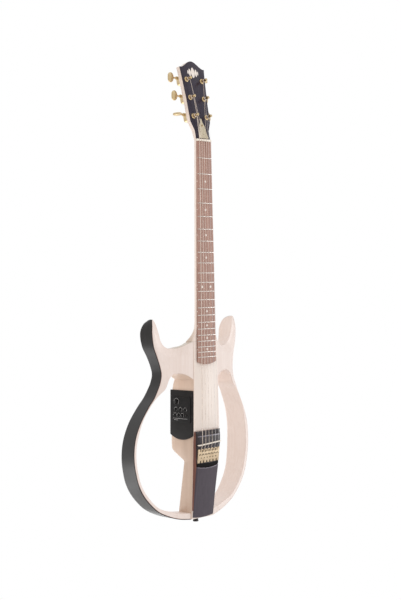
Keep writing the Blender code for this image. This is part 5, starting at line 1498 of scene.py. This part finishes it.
# ================================================================ strings, with their windings on the posts
for k in range(6):
    r = STRING_R[k]
    side = -1 if k < 3 else 1
    post = (k if k < 3 else 5 - k)
    px, pz = POSTS[post]
    tag = "%s_%d" % ("bass" if k < 3 else "treble", post + 1)
    mat = BRONZE if r > 0.3 else PLAIN
    xn = NUT_SPREAD * (k / 5.0 - 0.5)
    xs = string_x[k]
    wrap = 7.6 + (0.6 if post == 2 else 0)
    end = on_head(side * px, pz, wrap) + Vector((-side * (2.6 + r + 0.05), 0, 0))
    y_nut, y_sad = -1.05 - GAP - r, -6.0 - GAP + 0.2 - r
    zs_ = -653.85 + xs * 4.0 / 72.0
    anchor = Vector((xs, plate_y(-668.4) + 0.3, -668.4))
    pts = [end]
    nut_back = Vector((xn, y_nut + 0.12, 4.6))
    for t in (0.25, 0.5, 0.75, 0.92):
        pts.append(end.lerp(nut_back, t))
    pts += [nut_back, Vector((xn, y_nut + 0.02, 3.4)), Vector((xn, y_nut, 1.5)), Vector((xn, y_nut, 0.0))]
    a, b = Vector((xn, y_nut, 0.0)), Vector((xs, y_sad, zs_ + 1.4))
    for t in (0.05, 0.15, 0.3, 0.5, 0.7, 0.85, 0.96):
        pts.append(a.lerp(b, t))
    pts += [b, Vector((xs, y_sad - 0.04, zs_ + 0.4)), Vector((xs, y_sad + 0.02, zs_ - 0.5)), Vector((xs, y_sad + 0.3, zs_ - 1.5)),
            Vector((xs, -4.4, -659.5)), Vector((xs, -3.0, -663.2)), anchor + Vector((0, -0.6, 2.6)), anchor + Vector((0, -0.3, 1.6))]
    run = tube("string_run_%d" % (6 - k), pts, r, mat, 12)
    ball = lathe("ball", [(0.7, -1.7), (1.55, -1.6), (1.7, -1.2), (1.7, 1.2), (1.55, 1.6), (0.7, 1.7)], 24, PLATE_GOLD,
                 frame_z(anchor + Vector((0, 0.1, 0.2)), (1, 0, 0), Vector((0, 0, 1))))
    piece = join("string_line_%d" % (6 - k), [run, ball])
    put(piece, "guitar", "string_%d" % (6 - k))
    pf = frame_z(on_head(side * px, pz), FRONT_N, Vector((1, 0, 0)))
    coil = []
    turns = 3.0 if r > 0.3 else 4.5
    steps = int(turns * 20)
    start = 0.0 if side < 0 else math.pi
    sense = 1 if side < 0 else -1
    pitch = 2 * r + 0.06
    for s in range(steps + 1):
        th = start + sense * 2 * math.pi * turns * s / steps
        h = wrap + 0.05 - (pitch * turns) * s / steps
        h = max(h, 5.6)
        q = 2.62 + r
        coil.append(Vector((q * math.cos(th), q * math.sin(th), h)))
    rings = []
    for i, p in enumerate(coil):
        d = (coil[min(i + 1, len(coil) - 1)] - coil[max(i - 1, 0)]).normalized()
        x = Vector((p.x, p.y, 0)).normalized()
        x = (x - d * x.dot(d)).normalized()
        yv = d.cross(x)
        rings.append([p + (x * math.cos(2 * math.pi * q / 10) + yv * math.sin(2 * math.pi * q / 10)) * r for q in range(10)])
    wound = loft("string_coil_%d" % (6 - k), rings, mat, 60, matrix=pf)
    put(wound, "post_" + tag, slot="bronze_wire" if r > 0.3 else "plain_wire")

# ================================================================ CAD nodes that stay: hidden pieces with finished materials
for node, mat in (("truss_rod", STEEL), ("truss_rod_nut", STEEL), ("piezo_pickup", FOIL), ("output_lead", LEAD), ("battery", BATTERY)):
    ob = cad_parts[node]
    for s in ob.material_slots:
        s.material = mat

# ================================================================ floor, light and camera
floor = add("studio_floor", [(900 * math.cos(2 * math.pi * k / 96), 40 + 900 * math.sin(2 * math.pi * k / 96), -1250) for k in range(96)],
            [tuple(range(96))], None, None, close=False)
paper = Graph("pale_floor", rough=0.8)
cloud = paper.noise(paper.place((3, 3, 3)), 1.0, 3.0, 0.5)
paper.colour(paper.mix(paper.spread(cloud, 0.3, 0.7), lin(238, 238, 238), lin(246, 246, 246)))
floor.data.materials.append(paper.mat)

world = bpy.data.worlds.new("studio")
bpy.context.scene.world = world
world.use_nodes = True
wt = world.node_tree
wt.nodes.clear()
out = wt.nodes.new("ShaderNodeOutputWorld")
seen, light = wt.nodes.new("ShaderNodeBackground"), wt.nodes.new("ShaderNodeBackground")
where, axes = wt.nodes.new("ShaderNodeTexCoord"), wt.nodes.new("ShaderNodeSeparateXYZ")
side_fall, tint = wt.nodes.new("ShaderNodeMapRange"), wt.nodes.new("ShaderNodeMix")
tint.data_type = "RGBA"
for key, value in (("From Min", -1.0), ("From Max", 0.1), ("To Min", 0.0), ("To Max", 1.0)):
    side_fall.inputs[key].default_value = value
tint.inputs[6].default_value = (0.8, 0.77, 0.735, 1)
tint.inputs[7].default_value = (1, 1, 1, 1)
wt.links.new(where.outputs["Generated"], axes.inputs[0])
wt.links.new(axes.outputs["X"], side_fall.inputs["Value"])
wt.links.new(side_fall.outputs["Result"], tint.inputs[0])
far_fall, far_tint = wt.nodes.new("ShaderNodeMapRange"), wt.nodes.new("ShaderNodeMix")
far_tint.data_type = "RGBA"
for key, value in (("From Min", 0.1), ("From Max", 0.9), ("To Min", 0.0), ("To Max", 1.0)):
    far_fall.inputs[key].default_value = value
far_tint.inputs[7].default_value = (0.9, 0.885, 0.875, 1)
wt.links.new(axes.outputs["X"], far_fall.inputs["Value"])
wt.links.new(far_fall.outputs["Result"], far_tint.inputs[0])
wt.links.new(tint.outputs[2], far_tint.inputs[6])
wt.links.new(far_tint.outputs[2], light.inputs["Color"])
seen.inputs["Color"].default_value = (1, 1, 1, 1)
seen.inputs["Strength"].default_value = 1.0
light.inputs["Strength"].default_value = 0.955
path = wt.nodes.new("ShaderNodeLightPath")
pick = wt.nodes.new("ShaderNodeMixShader")
wt.links.new(path.outputs["Is Camera Ray"], pick.inputs[0])
wt.links.new(light.outputs[0], pick.inputs[1])
wt.links.new(seen.outputs[0], pick.inputs[2])
wt.links.new(pick.outputs[0], out.inputs["Surface"])


def area(name, at, aim, size, glow, colour=(1, 1, 1), mirrored=True):
    """A soft panel of light. glow is how bright its face is, with 1 for the white backdrop."""
    data = bpy.data.lights.new(name, "AREA")
    data.shape = "RECTANGLE"
    data.size, data.size_y = size
    data.energy = glow * math.pi * size[0] * size[1]
    data.color = colour
    ob = bpy.data.objects.new(name, data)
    bpy.context.scene.collection.objects.link(ob)
    ob.location = at
    ob.rotation_euler = (Vector(aim) - Vector(at)).to_track_quat("-Z", "Y").to_euler()
    ob.visible_camera = False
    ob.visible_glossy = mirrored
    return ob


area("key_softbox", (2.4, -1.78, -0.62), (0, 0, -0.6), (0.55, 1.5), 4.3, (0.98, 0.985, 1.0))
area("head_fill", (-0.65, -1.05, 0.5), (0, 0, 0.06), (0.4, 0.4), 3.0, (1.0, 0.985, 0.96), False)
area("left_reflector", (-0.62, 0.62, -0.6), (0.0, 0.05, -0.6), (0.6, 0.8), 0.5, (1.0, 0.9, 0.78), False)
area("sweep_glow", (0.0, 0.9, -1.22), (0.0, 0.6, 0.0), (2.4, 1.2), 1.5)

cam_data = bpy.data.cameras.new("camera")
cam_data.lens = 74.93
cam_data.sensor_width = 36
cam_data.sensor_fit = "AUTO"
cam_data.clip_start, cam_data.clip_end = 0.05, 50
cam = bpy.data.objects.new("camera", cam_data)
bpy.context.scene.collection.objects.link(cam)
fwd = Vector((0.7247, 0.6888, -0.0191)).normalized()
up = Vector((0.023, 0.0035, 0.9997))
up = (up - fwd * up.dot(fwd)).normalized()
right = fwd.cross(up)
m = Matrix((right, up, -fwd)).transposed().to_4x4()
m.translation = Vector((-1.9703, -1.8541, -0.2912))
cam.matrix_world = m
bpy.context.scene.camera = cam

bpy.context.scene.view_settings.view_transform = "Standard"
bpy.context.scene.view_settings.look = "None"
bpy.context.scene.view_settings.exposure = 0.0
bpy.context.scene.view_settings.gamma = 1.0

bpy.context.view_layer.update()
